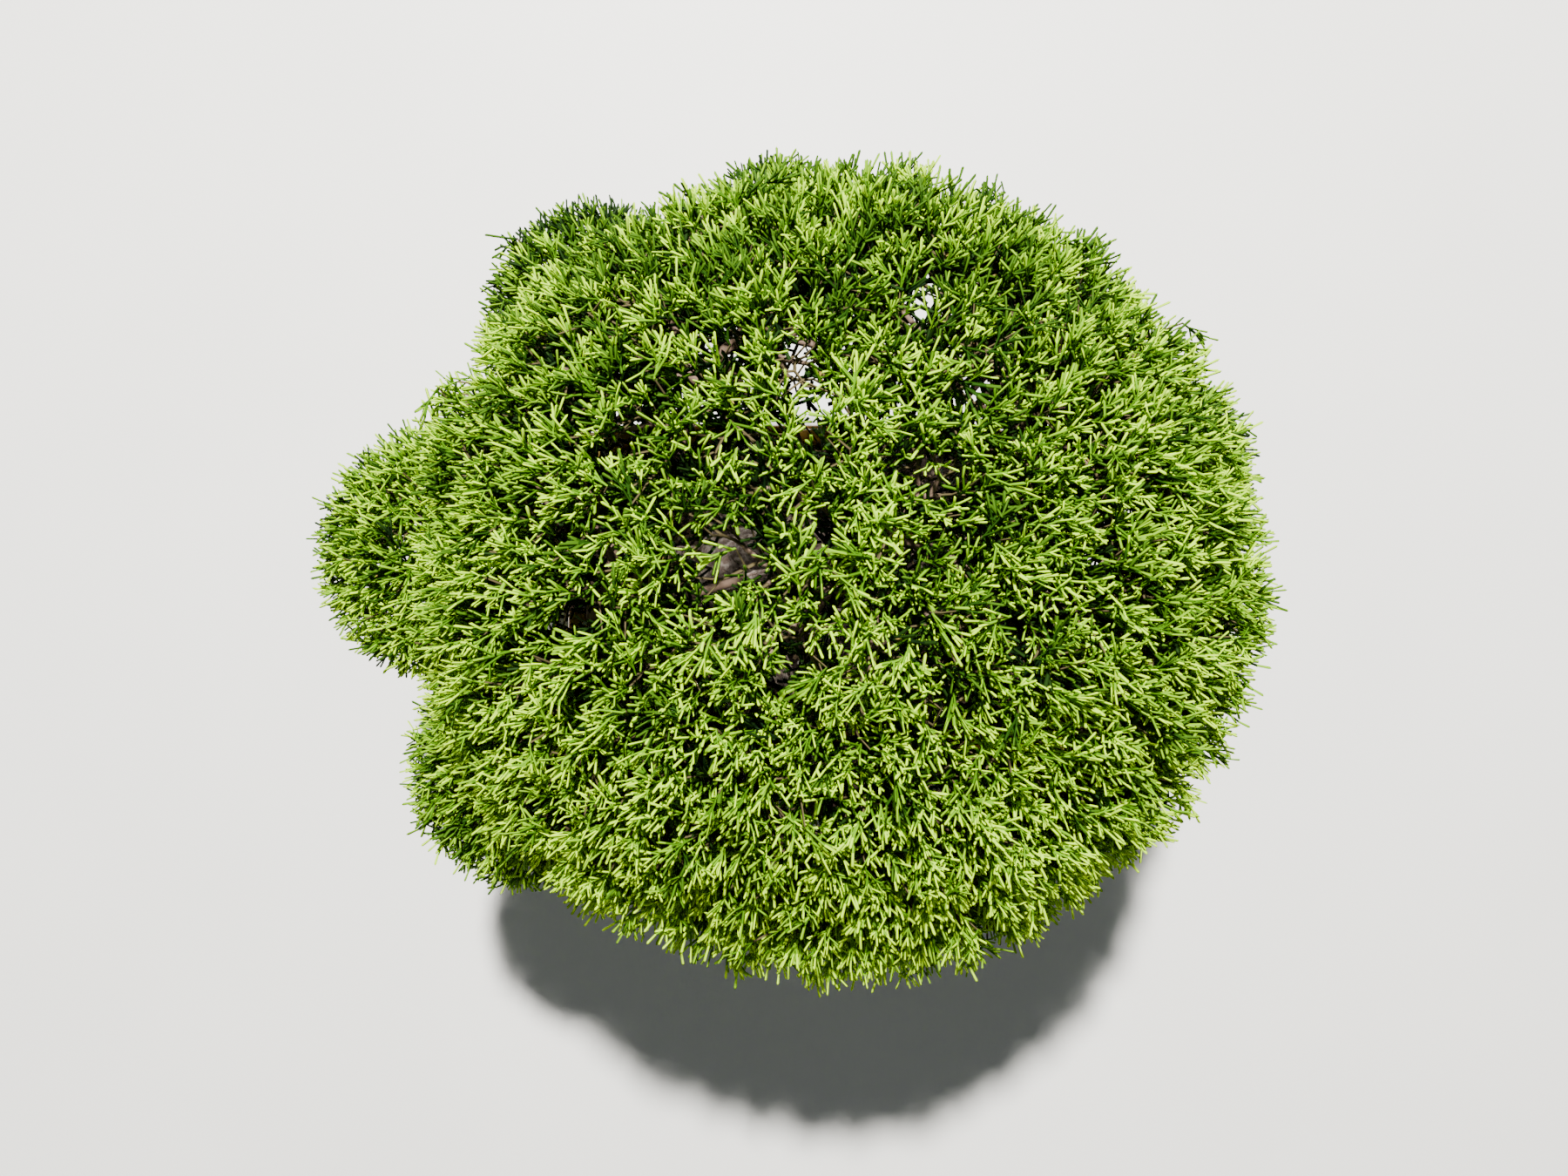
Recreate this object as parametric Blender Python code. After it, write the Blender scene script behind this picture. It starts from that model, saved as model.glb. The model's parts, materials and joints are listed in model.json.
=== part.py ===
"""A juniper bonsai, rounded by clipping, in an olive-glazed rectangular pot.

Metres, +Z up. The origin is the middle of the pot's flat underside, +X runs along the pot's
long side and -Y is its front. The trunk stands on the soil and the boughs spring from the trunk.
The crown is dense: a clipped dome and the lobes under its brim, divided into masses. Every mass
has twigs that fork from the end of one bough (or of the trunk) towards tips spread over its own
share of the surface, each twig with sprays of needles, and a core that they stand out of.
"""

import math
import random

import bmesh
import bpy
from mathutils import Matrix, Vector
from mathutils.bvhtree import BVHTree

GAP = 0.0003                    # clearance between touching pieces
SHARP_EDGE = math.radians(38.0)

# Pot
POT_LENGTH = 0.200
POT_WIDTH = 0.136
POT_HEIGHT = 0.056
POT_CORNER = 0.030              # corner radius of the rim, seen from above
POT_CORNER_STEPS = 4
POT_CORNER_SHRINK = 0.6         # how much a corner tightens for each measure of inset
POT_LEAST_CORNER = 0.010
POT_FLOOR = 0.007
POT_FOOT_INSET = 0.012
POT_FOOT_HEIGHT = 0.006
POT_RIM_HEIGHT = 0.009
POT_RIM_STEP = 0.003            # how far the rim stands out of the wall
POT_RIM_WIDTH = 0.0075
POT_BEVEL = 0.002               # of the foot, the rim and the rim's underside
POT_LIP_BEVEL = 0.001           # of the rim's inner edge
POT_BELLY_INSET = 0.006         # of the wall at its roundest
POT_BELLY_SHARE = 0.45          # and the share of the height where that is
POT_INNER_TAPER = 0.007         # how much the inside narrows from rim to floor
DRAIN_RADIUS = 0.006
DRAIN_SPREAD = 0.050            # distance of each drain hole from the middle
DRAIN_SIDES = 12

# Soil
SOIL_EDGE_HEIGHT = 0.0490
SOIL_TOP_HEIGHT = 0.0535
SOIL_TOP_INSET = 0.040
SOIL_CLEARANCE = GAP * 1.2      # off the pot's wall
SOIL_SHOULDER_HEIGHT = 0.05205
SOIL_SHOULDER_INSET = 0.010     # from the wall to the soil's shoulder

# Trunk
TRUNK_FOOT = Vector((-0.030, 0.004, SOIL_TOP_HEIGHT + GAP))
TRUNK_TIP_HEIGHT = 0.204
TRUNK_LEAN = 0.034              # how far the tip stands to the right of the foot
TRUNK_LEAN_POWER = 1.5          # the lean sets in gradually
TRUNK_SWAY = 0.008              # half width of the bends
TRUNK_SWAY_TURNS = 0.9          # bends to the left and right between foot and tip
TRUNK_DEPTH_SHARE = 0.75        # how much of the sway there is forwards and back
TRUNK_DEPTH_TURNS = 0.7
TRUNK_DEPTH_LEAN = 0.008        # how far the tip stands behind the foot
TRUNK_FOOT_RADIUS = 0.0117
TRUNK_TIP_RADIUS = 0.0026
TRUNK_TAPER_POWER = 0.9
FLARE = 0.0085                  # extra radius where the roots spread on the soil
FLARE_FADE = 0.009
ROOT_RIDGES = 5
ROOT_RIDGE_DEPTH = 0.24         # share of the radius
ROOT_RIDGE_FADE = FLARE_FADE * 1.4
ROOT_RIDGE_TURN = 0.5
# Low swellings of the trunk's bark: (share of the radius, waves round, turn from foot to tip).
BARK_SWELLS = ((0.07, 3, 9.0), (0.04, 5, -14.0))
TRUNK_SIDES = 15
TRUNK_RINGS = 22
TRUNK_RING_POWER = 1.35         # rings stand closer together towards the foot

# Crown
CROWN_CENTRE = Vector((0.0095, 0.0077, 0.155))
CROWN_RADIUS = 0.1450
CROWN_RISE = 0.096              # from the widest level to the top
CROWN_DROP = 0.052              # from the widest level to the lowest brim
# The outline from above swells and narrows in a few waves: (waves round, share, crest bearing).
CROWN_WAVES = ((1, 0.029, 218.0), (2, 0.028, 3.0), (5, 0.013, 1.0))
LOWEST_TIPS = -20.0             # elevation on the dome, in degrees, of its lowest tips
SEAT_SHARE = 0.68               # a mass is centred at this share of the dome's radius
SPACE_MARGIN = 0.0006           # every mass stays this far inside its own space
LIMB_MARGIN = 0.0007

# Masses on the dome: (name, how many, bearing of the first, elevation), in degrees.
DOME_RINGS = (
    ("top", 1, 0.0, 90.0),
    ("shoulder", 5, 50.0, 42.0),
    ("brim", 8, 50.0, 8.0),
)
# Lobes that low boughs carry out from under the dome:
# name: (bearing, reach from the crown's axis, height of the middle, half width).
LOWER_LOBES = {
    "left": (178.0, 0.185, 0.140, 0.050),
    "back_left": (134.0, 0.167, 0.131, 0.044),
    "back": (100.0, 0.149, 0.134, 0.038),
    "right": (16.0, 0.154, 0.132, 0.040),
    "front_right": (318.0, 0.142, 0.126, 0.038),
    "front": (276.0, 0.140, 0.124, 0.038),
    "front_left": (213.0, 0.176, 0.134, 0.049),
}
LOBE_FLATNESS = 0.62            # height of a lobe over its width

# Gaps that the crown shows from above, which fan out downwards from one point far over it:
# (x, y, radius) at the height GAP_LEVEL.
GAP_APEX = Vector((-0.010, 0.0, 0.545))
GAP_LEVEL = 0.240
CROWN_GAPS = (
    (0.0261, 0.0744, 0.0095),
    (-0.0044, 0.0541, 0.0100),
    (-0.0224, 0.0056, 0.0085),
)

# Boughs
BOUGH_SIDES = 5
BOUGH_RINGS = 5
LOW_BOUGH_RADIUS = 0.0043
SIDE_BOUGH_RADIUS = 0.0029
HIGH_BOUGH_RADIUS = 0.0024
LOW_BOUGH_HEIGHTS = (0.090, 0.112, 0.098, 0.092, 0.118, 0.104, 0.124)
FREE_BRIM_HEIGHT = 0.126        # of a brim bough that leaves the trunk itself
SHOULDER_HEIGHTS = (0.158, 0.176, 0.164, 0.182, 0.170)
SIDE_BOUGH_START = 0.46         # share of the low bough's length where a side bough leaves it
LOW_RISE = 0.11                 # how much a bough lifts as it leaves, over its length
SIDE_RISE = 0.30
BOUGH_SWAY = 0.030
BOUGH_TAPER = 0.8
BOUGH_LEAVE = 0.42              # length of the bend at a bough's foot, over the bough's
BOUGH_ARRIVE = 0.34             # and of the one at its tip
BOUGH_TIP = 0.86                # radius of a bough's tip over that of the stem that follows
STEM_ROOM = 1.6                 # room round a stem's start, over its radius
SIDE_BOUGH_NEAR = 30.0          # a brim bough leaves a low bough that points this near its way
LIMB_BOX_MARGIN = 0.004         # round the box that holds a limb
SIDE_TURN = 0.95                # cosine past which a tube's rings turn to another side
TINY = 1e-14

# Twigs and sprays
SEED = 11
TIP_SPACING = 0.0500            # between neighbouring tips at the dome's widest level
TOP_TIP_SPACING = 0.0400        # and at its top
ROW_SHARE = 0.90                # distance between rings over the distance along them
ROW_TURN = 0.22
LOBE_TIPS = 10                  # tips on a whole lobe, of which those with room are kept
LOBE_UNDERSIDE = -0.75          # a lobe has no tips that point further down than this
LOBE_BACK = 0.6                 # nor any further back towards the crown's axis than this
TIP_ROOM = 0.001
TWIG_TIP = 0.00085              # radius of a twig that ends in one spray
TWIG_GROWTH = 0.45              # a twig's radius grows with its tips to this power
TWIG_THINNING = 0.8             # tips that a twig's far end is as thick as, over its own
TWIG_FOOT = 0.9                 # radius of a twig's foot over what its tips ask for
TWIG_OVERSHOOT = 0.8            # how far a twig runs past its fork, over its radius there
FORK_SHARE = 0.36               # where a twig forks on its way to the middle of its tips
SPRAY_DEPTH = 0.021             # how far under its sprays a twig ends
SPRAY_DEPTH_SHARE = 0.7         # and never more than this share of the way to them
STALK_RADIUS = 0.0004
SPRAY_RADIUS = 0.0020           # room that a spray's core needs off the limbs
NEEDLE_RADIUS = 0.0006          # and its needles
# Rings of a spray's core: (share of its length, radius).
SPRAY_RINGS = ((0.34, 0.0018), (0.54, 0.0019), (0.74, 0.0013))
PINCH = 0.5
PINCH_LENGTH = 1.6
SPRAY_TURNS = (0, 15, 30, 45, 60, 75, 90, 105)
NEEDLE_LENGTH = 0.0130
NEEDLE_VARIETY = 0.3
NEEDLE_LEAN = 46.0              # degrees off the spray's axis
NEEDLE_SWAY = 12.0
NEEDLE_LEAST = 0.004
NEEDLE_STEP = 0.0015
CROSSING_COST = 0.6
SPRAYS_ON_A_TWIG = 4
SPRAY_STAGGER = 0.17            # share of its twig between one spray and the next
SIDE_FORK = 0.80                # where the first of two twigs leaves their parent
FORK_RETREATS = (0.0, 0.15, 0.3, 0.45, 0.6, 0.8)
STEM_OUT = 0.050                # furthest that a mass's stem starts from its middle
STEP = 0.001                    # by which a reach is shortened until it fits
AXIS_GUESS = Vector((0.3, 0.5, 0.2))
AXIS_STEPS = 24                 # to turn the guess into the way that tips spread most
SAME_PLACE = 1e-7

# The dense inside of a mass
GOLDEN_ANGLE = math.pi * (3 - math.sqrt(5))
CORE_SPACING = 0.0134           # between the corners of its outer faces
CORE_INNER_POINTS = 40          # on a whole sphere, of which the inner sides keep theirs
CORE_INNER_APART = math.radians(24.0)
CORE_LOBE_POINTS = 54
CORE_REACH = 0.060              # furthest from the mass's middle
CORE_LEAST = 0.004
CORE_DEPTH = 0.890              # it stays under this share of the dome's radius
CORE_FLOOR = 0.45               # and over this one
CORE_LOBE_SHARE = 0.72          # size of a lobe's core over the lobe
CORE_ROOM = 0.0020
CORE_GAP_ROOM = 0.0015
CORE_LIMB_ROOM = 0.0012
CORE_DRAW_IN = 0.9              # step by which a corner that touches a limb draws in
CORE_ROUGHNESS = 0.10
TUFT_HEIGHT = 0.015             # the pointed tufts on a core
TUFT_RADIUS = 0.001
TUFT_VARIETY = 0.35
TUFT_LEAST = 0.003
TUFT_DEPTH = 0.98
TUFT_LOBE_SHARE = 0.97
TUFT_LIFT = 0.2                 # how much the tufts lean out of the crown
TUFT_FROM = -0.25               # cosine off the mass's way out beyond which there are none
OUTWARD_LIFT = 0.5              # how much a mass's way out is turned upwards


def clear_scene():
    for item in list(bpy.data.objects):
        bpy.data.objects.remove(item, do_unlink=True)


def make_material(name, colour, roughness):
    material = bpy.data.materials.new(name)
    material.use_nodes = True
    shader = material.node_tree.nodes["Principled BSDF"]
    shader.inputs["Base Color"].default_value = (*colour, 1.0)
    shader.inputs["Roughness"].default_value = roughness
    return material


def add_object(name, vertices, faces, material=None):
    mesh = bpy.data.meshes.new(name)
    mesh.from_pydata([tuple(v) for v in vertices], [], faces)
    item = bpy.data.objects.new(name, mesh)
    bpy.context.scene.collection.objects.link(item)
    if material:
        mesh.materials.append(material)
    return item


def shade_round(item):
    """Smooth shading, but for the edges that are really sharp."""
    item.data.shade_smooth()
    item.data.set_sharp_from_angle(angle=SHARP_EDGE)


def loft(rings):
    """Joins rings of equally many points, first to last, and closes both ends with a face."""
    count = len(rings[0])
    vertices = [point for ring in rings for point in ring]
    faces = [tuple(reversed(range(count)))]
    for level in range(len(rings) - 1):
        low = level * count
        high = low + count
        for i in range(count):
            j = (i + 1) % count
            faces.append((low + i, low + j, high + j, high + i))
    last = (len(rings) - 1) * count
    faces.append(tuple(range(last, last + count)))
    return vertices, faces


def replace_mesh(item):
    """Gives the object the mesh that its modifiers make, and removes them."""
    graph = bpy.context.evaluated_depsgraph_get()
    mesh = bpy.data.meshes.new_from_object(item.evaluated_get(graph))
    item.modifiers.clear()
    item.data = mesh


def cut_away(item, cutter):
    """Takes the cutter's space out of the object, then removes the cutter."""
    step = item.modifiers.new("cut", "BOOLEAN")
    step.operation = "DIFFERENCE"
    step.object = cutter
    replace_mesh(item)
    bpy.data.objects.remove(cutter, do_unlink=True)


# Pot and soil

def rounded_outline(inset, height):
    """The pot's outline from above, moved in by the inset, anticlockwise."""
    half_x = POT_LENGTH / 2 - inset
    half_y = POT_WIDTH / 2 - inset
    corner = max(POT_CORNER - inset * POT_CORNER_SHRINK, POT_LEAST_CORNER)
    points = []
    for quarter, (side_x, side_y) in enumerate(((1, 1), (-1, 1), (-1, -1), (1, -1))):
        for step in range(POT_CORNER_STEPS + 1):
            angle = math.pi / 2 * (quarter + step / POT_CORNER_STEPS)
            points.append(Vector((
                side_x * (half_x - corner) + corner * math.cos(angle),
                side_y * (half_y - corner) + corner * math.sin(angle),
                height,
            )))
    return points


def inner_inset(height):
    """How far the pot's inner wall lies in from the rim's outline at a height."""
    share = (height - POT_FLOOR) / (POT_HEIGHT - POT_FLOOR)
    return POT_RIM_WIDTH + POT_INNER_TAPER * (1 - share)


def make_pot(material):
    rim_foot = POT_HEIGHT - POT_RIM_HEIGHT
    profile = (
        (POT_FOOT_INSET, 0.0),
        (POT_FOOT_INSET, POT_FOOT_HEIGHT),
        (POT_FOOT_INSET - POT_BEVEL, POT_FOOT_HEIGHT + POT_BEVEL),
        (POT_BELLY_INSET, POT_HEIGHT * POT_BELLY_SHARE),
        (POT_RIM_STEP, rim_foot - POT_BEVEL),
        (0.0, rim_foot),
        (0.0, POT_HEIGHT - POT_BEVEL),
        (POT_BEVEL, POT_HEIGHT),
        (POT_RIM_WIDTH - POT_LIP_BEVEL, POT_HEIGHT),
        (inner_inset(POT_HEIGHT - POT_LIP_BEVEL), POT_HEIGHT - POT_LIP_BEVEL),
        (inner_inset(POT_FLOOR), POT_FLOOR),
    )
    vertices, faces = loft([rounded_outline(inset, height) for inset, height in profile])
    pot = add_object("pot", vertices, faces, material)
    for side in (-1, 1):
        cutter = bpy.data.meshes.new("drain")
        shape = bmesh.new()
        bmesh.ops.create_cone(shape, cap_ends=True, segments=DRAIN_SIDES, radius1=DRAIN_RADIUS,
                              radius2=DRAIN_RADIUS, depth=POT_FLOOR * 4)
        shape.to_mesh(cutter)
        shape.free()
        drain = bpy.data.objects.new("drain", cutter)
        drain.location.x = side * DRAIN_SPREAD
        bpy.context.scene.collection.objects.link(drain)
        bpy.context.view_layer.update()
        cut_away(pot, drain)
    shade_round(pot)


def make_soil(material):
    bottom = POT_FLOOR + GAP
    profile = (
        (inner_inset(bottom) + SOIL_CLEARANCE, bottom),
        (inner_inset(SOIL_EDGE_HEIGHT) + SOIL_CLEARANCE, SOIL_EDGE_HEIGHT),
        (inner_inset(SOIL_EDGE_HEIGHT) + SOIL_SHOULDER_INSET, SOIL_SHOULDER_HEIGHT),
        (SOIL_TOP_INSET, SOIL_TOP_HEIGHT),
    )
    vertices, faces = loft([rounded_outline(inset, height) for inset, height in profile])
    shade_round(add_object("soil", vertices, faces, material))


# Trunk and boughs

class Limb:
    """One tapering limb: the points of its axis and the radius at each."""

    def __init__(self, name, points, radii):
        self.name = name
        self.points = points
        self.radii = radii

    def at(self, share):
        """The axis point, the radius and the heading at a share of the limb's length."""
        place = min(max(share, 0.0), 1.0) * (len(self.points) - 1)
        index = min(int(place), len(self.points) - 2)
        part = place - index
        point = self.points[index].lerp(self.points[index + 1], part)
        radius = self.radii[index] * (1 - part) + self.radii[index + 1] * part
        return point, radius, (self.points[index + 1] - self.points[index]).normalized()

    def clear_of(self, start, end, radius):
        """Whether a straight twig keeps off this limb."""
        if min(start.x, end.x) > self.high.x or max(start.x, end.x) < self.low.x:
            return True
        if min(start.y, end.y) > self.high.y or max(start.y, end.y) < self.low.y:
            return True
        if min(start.z, end.z) > self.high.z or max(start.z, end.z) < self.low.z:
            return True
        pairs = zip(self.points, self.points[1:], self.radii, self.radii[1:])
        for low, high, low_radius, high_radius in pairs:
            reach = max(low_radius, high_radius) + radius + LIMB_MARGIN
            if segment_distance(start, end, low, high) < reach:
                return False
        return True

    def measure(self):
        wide = max(self.radii) + LIMB_BOX_MARGIN
        self.low = Vector([min(p[k] for p in self.points) - wide for k in range(3)])
        self.high = Vector([max(p[k] for p in self.points) + wide for k in range(3)])
        return self


def segment_distance(a, b, c, d):
    """The least distance between the straight stretches a-b and c-d."""
    along, across, between = b - a, d - c, a - c
    aa, bb, ab = along.dot(along), across.dot(across), along.dot(across)
    ca, cb = along.dot(between), across.dot(between)
    spread = aa * bb - ab * ab
    s = min(max((ab * cb - bb * ca) / spread, 0.0), 1.0) if spread > TINY else 0.0
    t = (ab * s + cb) / bb if bb > TINY else 0.0
    t = min(max(t, 0.0), 1.0)
    s = min(max((ab * t - ca) / aa, 0.0), 1.0) if aa > TINY else 0.0
    return (a + along * s - c - across * t).length


def sweep(points, radii, sides, shape=None, swell=0.0):
    """Rings of a tapering tube along the points; shape(share, angle) can ridge it."""
    rings = []
    side = Vector((1, 0, 0))
    for index, point in enumerate(points):
        before = points[max(index - 1, 0)]
        after = points[min(index + 1, len(points) - 1)]
        heading = (after - before).normalized()
        if abs(heading.dot(side)) > SIDE_TURN:
            side = Vector((0, 1, 0))
        side = (side - heading * side.dot(heading)).normalized()
        other = heading.cross(side)
        ring = []
        for step in range(sides):
            angle = 2 * math.pi * step / sides
            ridge = shape(index / (len(points) - 1), angle) if shape else 1.0
            reach = radii[index] * ridge + swell
            ring.append(point + (side * math.cos(angle) + other * math.sin(angle)) * reach)
        rings.append(ring)
    return rings


def trunk_point(share):
    aside = TRUNK_SWAY * math.sin(2 * math.pi * TRUNK_SWAY_TURNS * share)
    behind = TRUNK_SWAY * TRUNK_DEPTH_SHARE * math.sin(2 * math.pi * TRUNK_DEPTH_TURNS * share)
    return TRUNK_FOOT + Vector((
        TRUNK_LEAN * share ** TRUNK_LEAN_POWER - aside,
        TRUNK_DEPTH_LEAN * share + behind,
        (TRUNK_TIP_HEIGHT - TRUNK_FOOT.z) * share,
    ))


def trunk_radius(share):
    full = TRUNK_FOOT_RADIUS - TRUNK_TIP_RADIUS
    taper = TRUNK_TIP_RADIUS + full * (1 - share) ** TRUNK_TAPER_POWER
    height = share * (TRUNK_TIP_HEIGHT - TRUNK_FOOT.z)
    return taper + FLARE * math.exp(-height / FLARE_FADE)


def trunk_ridge(share, angle):
    """Roots at the foot, and low swellings of the bark further up."""
    height = share * (TRUNK_TIP_HEIGHT - TRUNK_FOOT.z)
    roots = ROOT_RIDGE_DEPTH * math.cos(ROOT_RIDGES * angle + ROOT_RIDGE_TURN)
    bark = sum(depth * math.sin(waves * angle + turn * share) for depth, waves, turn in BARK_SWELLS)
    return 1 + roots * math.exp(-height / ROOT_RIDGE_FADE) + bark * (1 - share)


def trunk_share(height):
    return (height - TRUNK_FOOT.z) / (TRUNK_TIP_HEIGHT - TRUNK_FOOT.z)


def make_trunk():
    shares = [(step / TRUNK_RINGS) ** TRUNK_RING_POWER for step in range(TRUNK_RINGS + 1)]
    points = [trunk_point(share) for share in shares]
    radii = [trunk_radius(share) for share in shares]
    return Limb("trunk", points, radii).measure()


def trunk_rings(trunk, swell=0.0):
    """The trunk's rings, the lowest one level, so that the foot is a flat cut."""
    shares = [trunk_share(point.z) for point in trunk.points]
    rings = sweep(trunk.points, trunk.radii, TRUNK_SIDES,
                  lambda share, angle: trunk_ridge(shares[round(share * TRUNK_RINGS)], angle), swell)
    for point in rings[0]:
        point.z = TRUNK_FOOT.z
    return rings


def curve_through(start, leave, arrive, end, steps):
    """Points of a cubic curve from start to end, with its two handles."""
    points = []
    for step in range(steps + 1):
        t = step / steps
        u = 1 - t
        points.append(start * u ** 3 + leave * 3 * u * u * t + arrive * 3 * u * t * t + end * t ** 3)
    return points


def make_bough(name, parent, share, tip, heading, radius, tip_radius, rise):
    """A bough from its parent's axis to a tip, where it points along the heading."""
    start, _, _ = parent.at(share)
    outward = Vector((tip.x - start.x, tip.y - start.y, 0.0))
    length = (tip - start).length
    leave = start + outward.normalized() * length * BOUGH_LEAVE + Vector((0, 0, rise * length))
    arrive = tip - heading * length * BOUGH_ARRIVE
    points = curve_through(start, leave, arrive, tip, BOUGH_RINGS)
    aside = outward.cross(Vector((0, 0, 1))).normalized()
    for index, point in enumerate(points):
        t = index / BOUGH_RINGS
        point += aside * BOUGH_SWAY * length * math.sin(2 * math.pi * t) * math.sin(math.pi * t)
    points[-2] = tip - heading * (tip - points[-2]).length
    shares = [(index / BOUGH_RINGS) ** BOUGH_TAPER for index in range(BOUGH_RINGS + 1)]
    radii = [radius + (tip_radius - radius) * share for share in shares]
    return Limb(name, points, radii).measure()


# Crown

class Mass:
    """One mass of foliage: its middle, and the tips that its twigs reach for.

    The half width is that of a lobe, and None for a mass that belongs to the dome.
    """

    def __init__(self, ring, name, bearing, seat, lobe=None):
        self.ring = ring
        self.name = name
        self.bearing = bearing
        self.seat = seat
        self.lobe = lobe
        self.tips = []


def crown_radius(bearing):
    swell = 1.0
    for count, share, crest in CROWN_WAVES:
        swell += share * math.cos(count * (bearing - math.radians(crest)))
    return CROWN_RADIUS * swell


def dome_rise(above):
    """The dome's vertical radius, above its widest level or below it."""
    return CROWN_RISE if above else CROWN_DROP / math.sin(math.radians(-LOWEST_TIPS))


def dome_point(bearing, elevation, depth=1.0):
    rise = dome_rise(elevation > 0)
    flat = crown_radius(bearing) * math.cos(elevation) * depth
    return CROWN_CENTRE + Vector((
        flat * math.cos(bearing), flat * math.sin(bearing), rise * math.sin(elevation) * depth,
    ))


def dome_depth(point):
    """1 on the dome's surface, less inside."""
    offset = point - CROWN_CENTRE
    flat = math.hypot(offset.x, offset.y) / crown_radius(math.atan2(offset.y, offset.x))
    return math.hypot(flat, offset.z / dome_rise(offset.z > 0))


def plan_masses():
    masses = []
    for ring, count, first, elevation in DOME_RINGS:
        for index in range(count):
            bearing = (first + 360.0 * index / count) % 360
            seat = dome_point(math.radians(bearing), math.radians(elevation), SEAT_SHARE)
            name = f"{ring}_{index + 1}" if count > 1 else ring
            masses.append(Mass(ring, name, bearing, seat))
    for lobe, (bearing, reach, height, half_width) in LOWER_LOBES.items():
        seat = CROWN_CENTRE + direction_of(math.radians(bearing), 0.0) * (reach - half_width)
        seat.z = height
        masses.append(Mass(lobe, lobe, bearing, seat, half_width))
    return masses


def room(point, mass, masses):
    """How far inside the mass's own space a point lies; the spaces are halved between neighbours."""
    least = 1.0
    for other in masses:
        if other is mass:
            continue
        across = other.seat - mass.seat
        middle = (other.seat + mass.seat) / 2
        least = min(least, (middle - point).dot(across.normalized()))
    return least - SPACE_MARGIN


def direction_of(bearing, elevation):
    return Vector((math.cos(bearing) * math.cos(elevation), math.sin(bearing) * math.cos(elevation),
                   math.sin(elevation)))


def flat_length(offset):
    return math.hypot(offset.x, offset.y)


def even_directions(count):
    """Directions spread evenly over a sphere, as (bearing, elevation)."""
    for index in range(count):
        yield GOLDEN_ANGLE * index, math.asin(1 - 2 * (index + 0.5) / count)


def dome_rows(spacing_below, spacing_on_top):
    """Evenly spaced spots in rings round the dome, from its top down, as (bearing, elevation)."""
    elevation = math.pi / 2
    row = 0
    while elevation > math.radians(LOWEST_TIPS):
        spacing = spacing_below + (spacing_on_top - spacing_below) * max(math.sin(elevation), 0.0)
        count = max(round(2 * math.pi * CROWN_RADIUS * math.cos(elevation) / spacing), 1)
        for index in range(count):
            yield 2 * math.pi * (index + 0.5 * (row % 2)) / count + row * ROW_TURN, elevation
        rise = dome_rise(elevation > 0) * math.cos(elevation)
        elevation -= spacing * ROW_SHARE / math.hypot(CROWN_RADIUS * math.sin(elevation), rise)
        row += 1


def gap_room(start, end):
    """How far the straight stretch from start to end keeps off the crown's gaps."""
    flat = []
    for point in (start, end):
        offset = (point - GAP_APEX) * (GAP_APEX.z - GAP_LEVEL) / (GAP_APEX.z - point.z)
        flat.append(Vector((offset.x + GAP_APEX.x, offset.y + GAP_APEX.y)))
    along = flat[1] - flat[0]
    least = 1.0
    for x, y, radius in CROWN_GAPS:
        middle = Vector((x, y))
        share = (middle - flat[0]).dot(along) / max(along.length_squared, 1e-12)
        nearest = flat[0] + along * min(max(share, 0.0), 1.0)
        least = min(least, (middle - nearest).length - radius)
    return least


def spread_tips(masses):
    """Gives every mass the places that its twigs reach for."""
    dome = [mass for mass in masses if mass.lobe is None]
    for bearing, elevation in dome_rows(TIP_SPACING, TOP_TIP_SPACING):
        place = dome_point(bearing, elevation)
        owner = max(dome, key=lambda mass: room(place, mass, masses))
        if room(place, owner, masses) > TIP_ROOM and gap_room(place, place) > 0:
            owner.tips.append(place)
    for mass in masses:
        if mass.lobe is None:
            continue
        middle = flat_length(mass.seat - CROWN_CENTRE)
        for bearing, elevation in even_directions(LOBE_TIPS):
            outward = direction_of(bearing, elevation)
            place = mass.seat + Vector((outward.x, outward.y, outward.z * LOBE_FLATNESS)) * mass.lobe
            behind = middle - flat_length(place - CROWN_CENTRE) > LOBE_BACK * mass.lobe
            below = outward.z < LOBE_UNDERSIDE
            if not behind and not below and room(place, mass, masses) > TIP_ROOM:
                mass.tips.append(place)


# Twigs and sprays

def twig_shape(stations, heading):
    """A three-sided twig through (point, radius) stations, its rings square to the heading."""
    side = heading.orthogonal().normalized()
    other = heading.cross(side)
    rings = []
    for point, radius in stations:
        rings.append([
            point + (side * math.cos(angle) + other * math.sin(angle)) * radius
            for angle in (0.0, 2 * math.pi / 3, 4 * math.pi / 3)
        ])
    return loft(rings)


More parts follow.
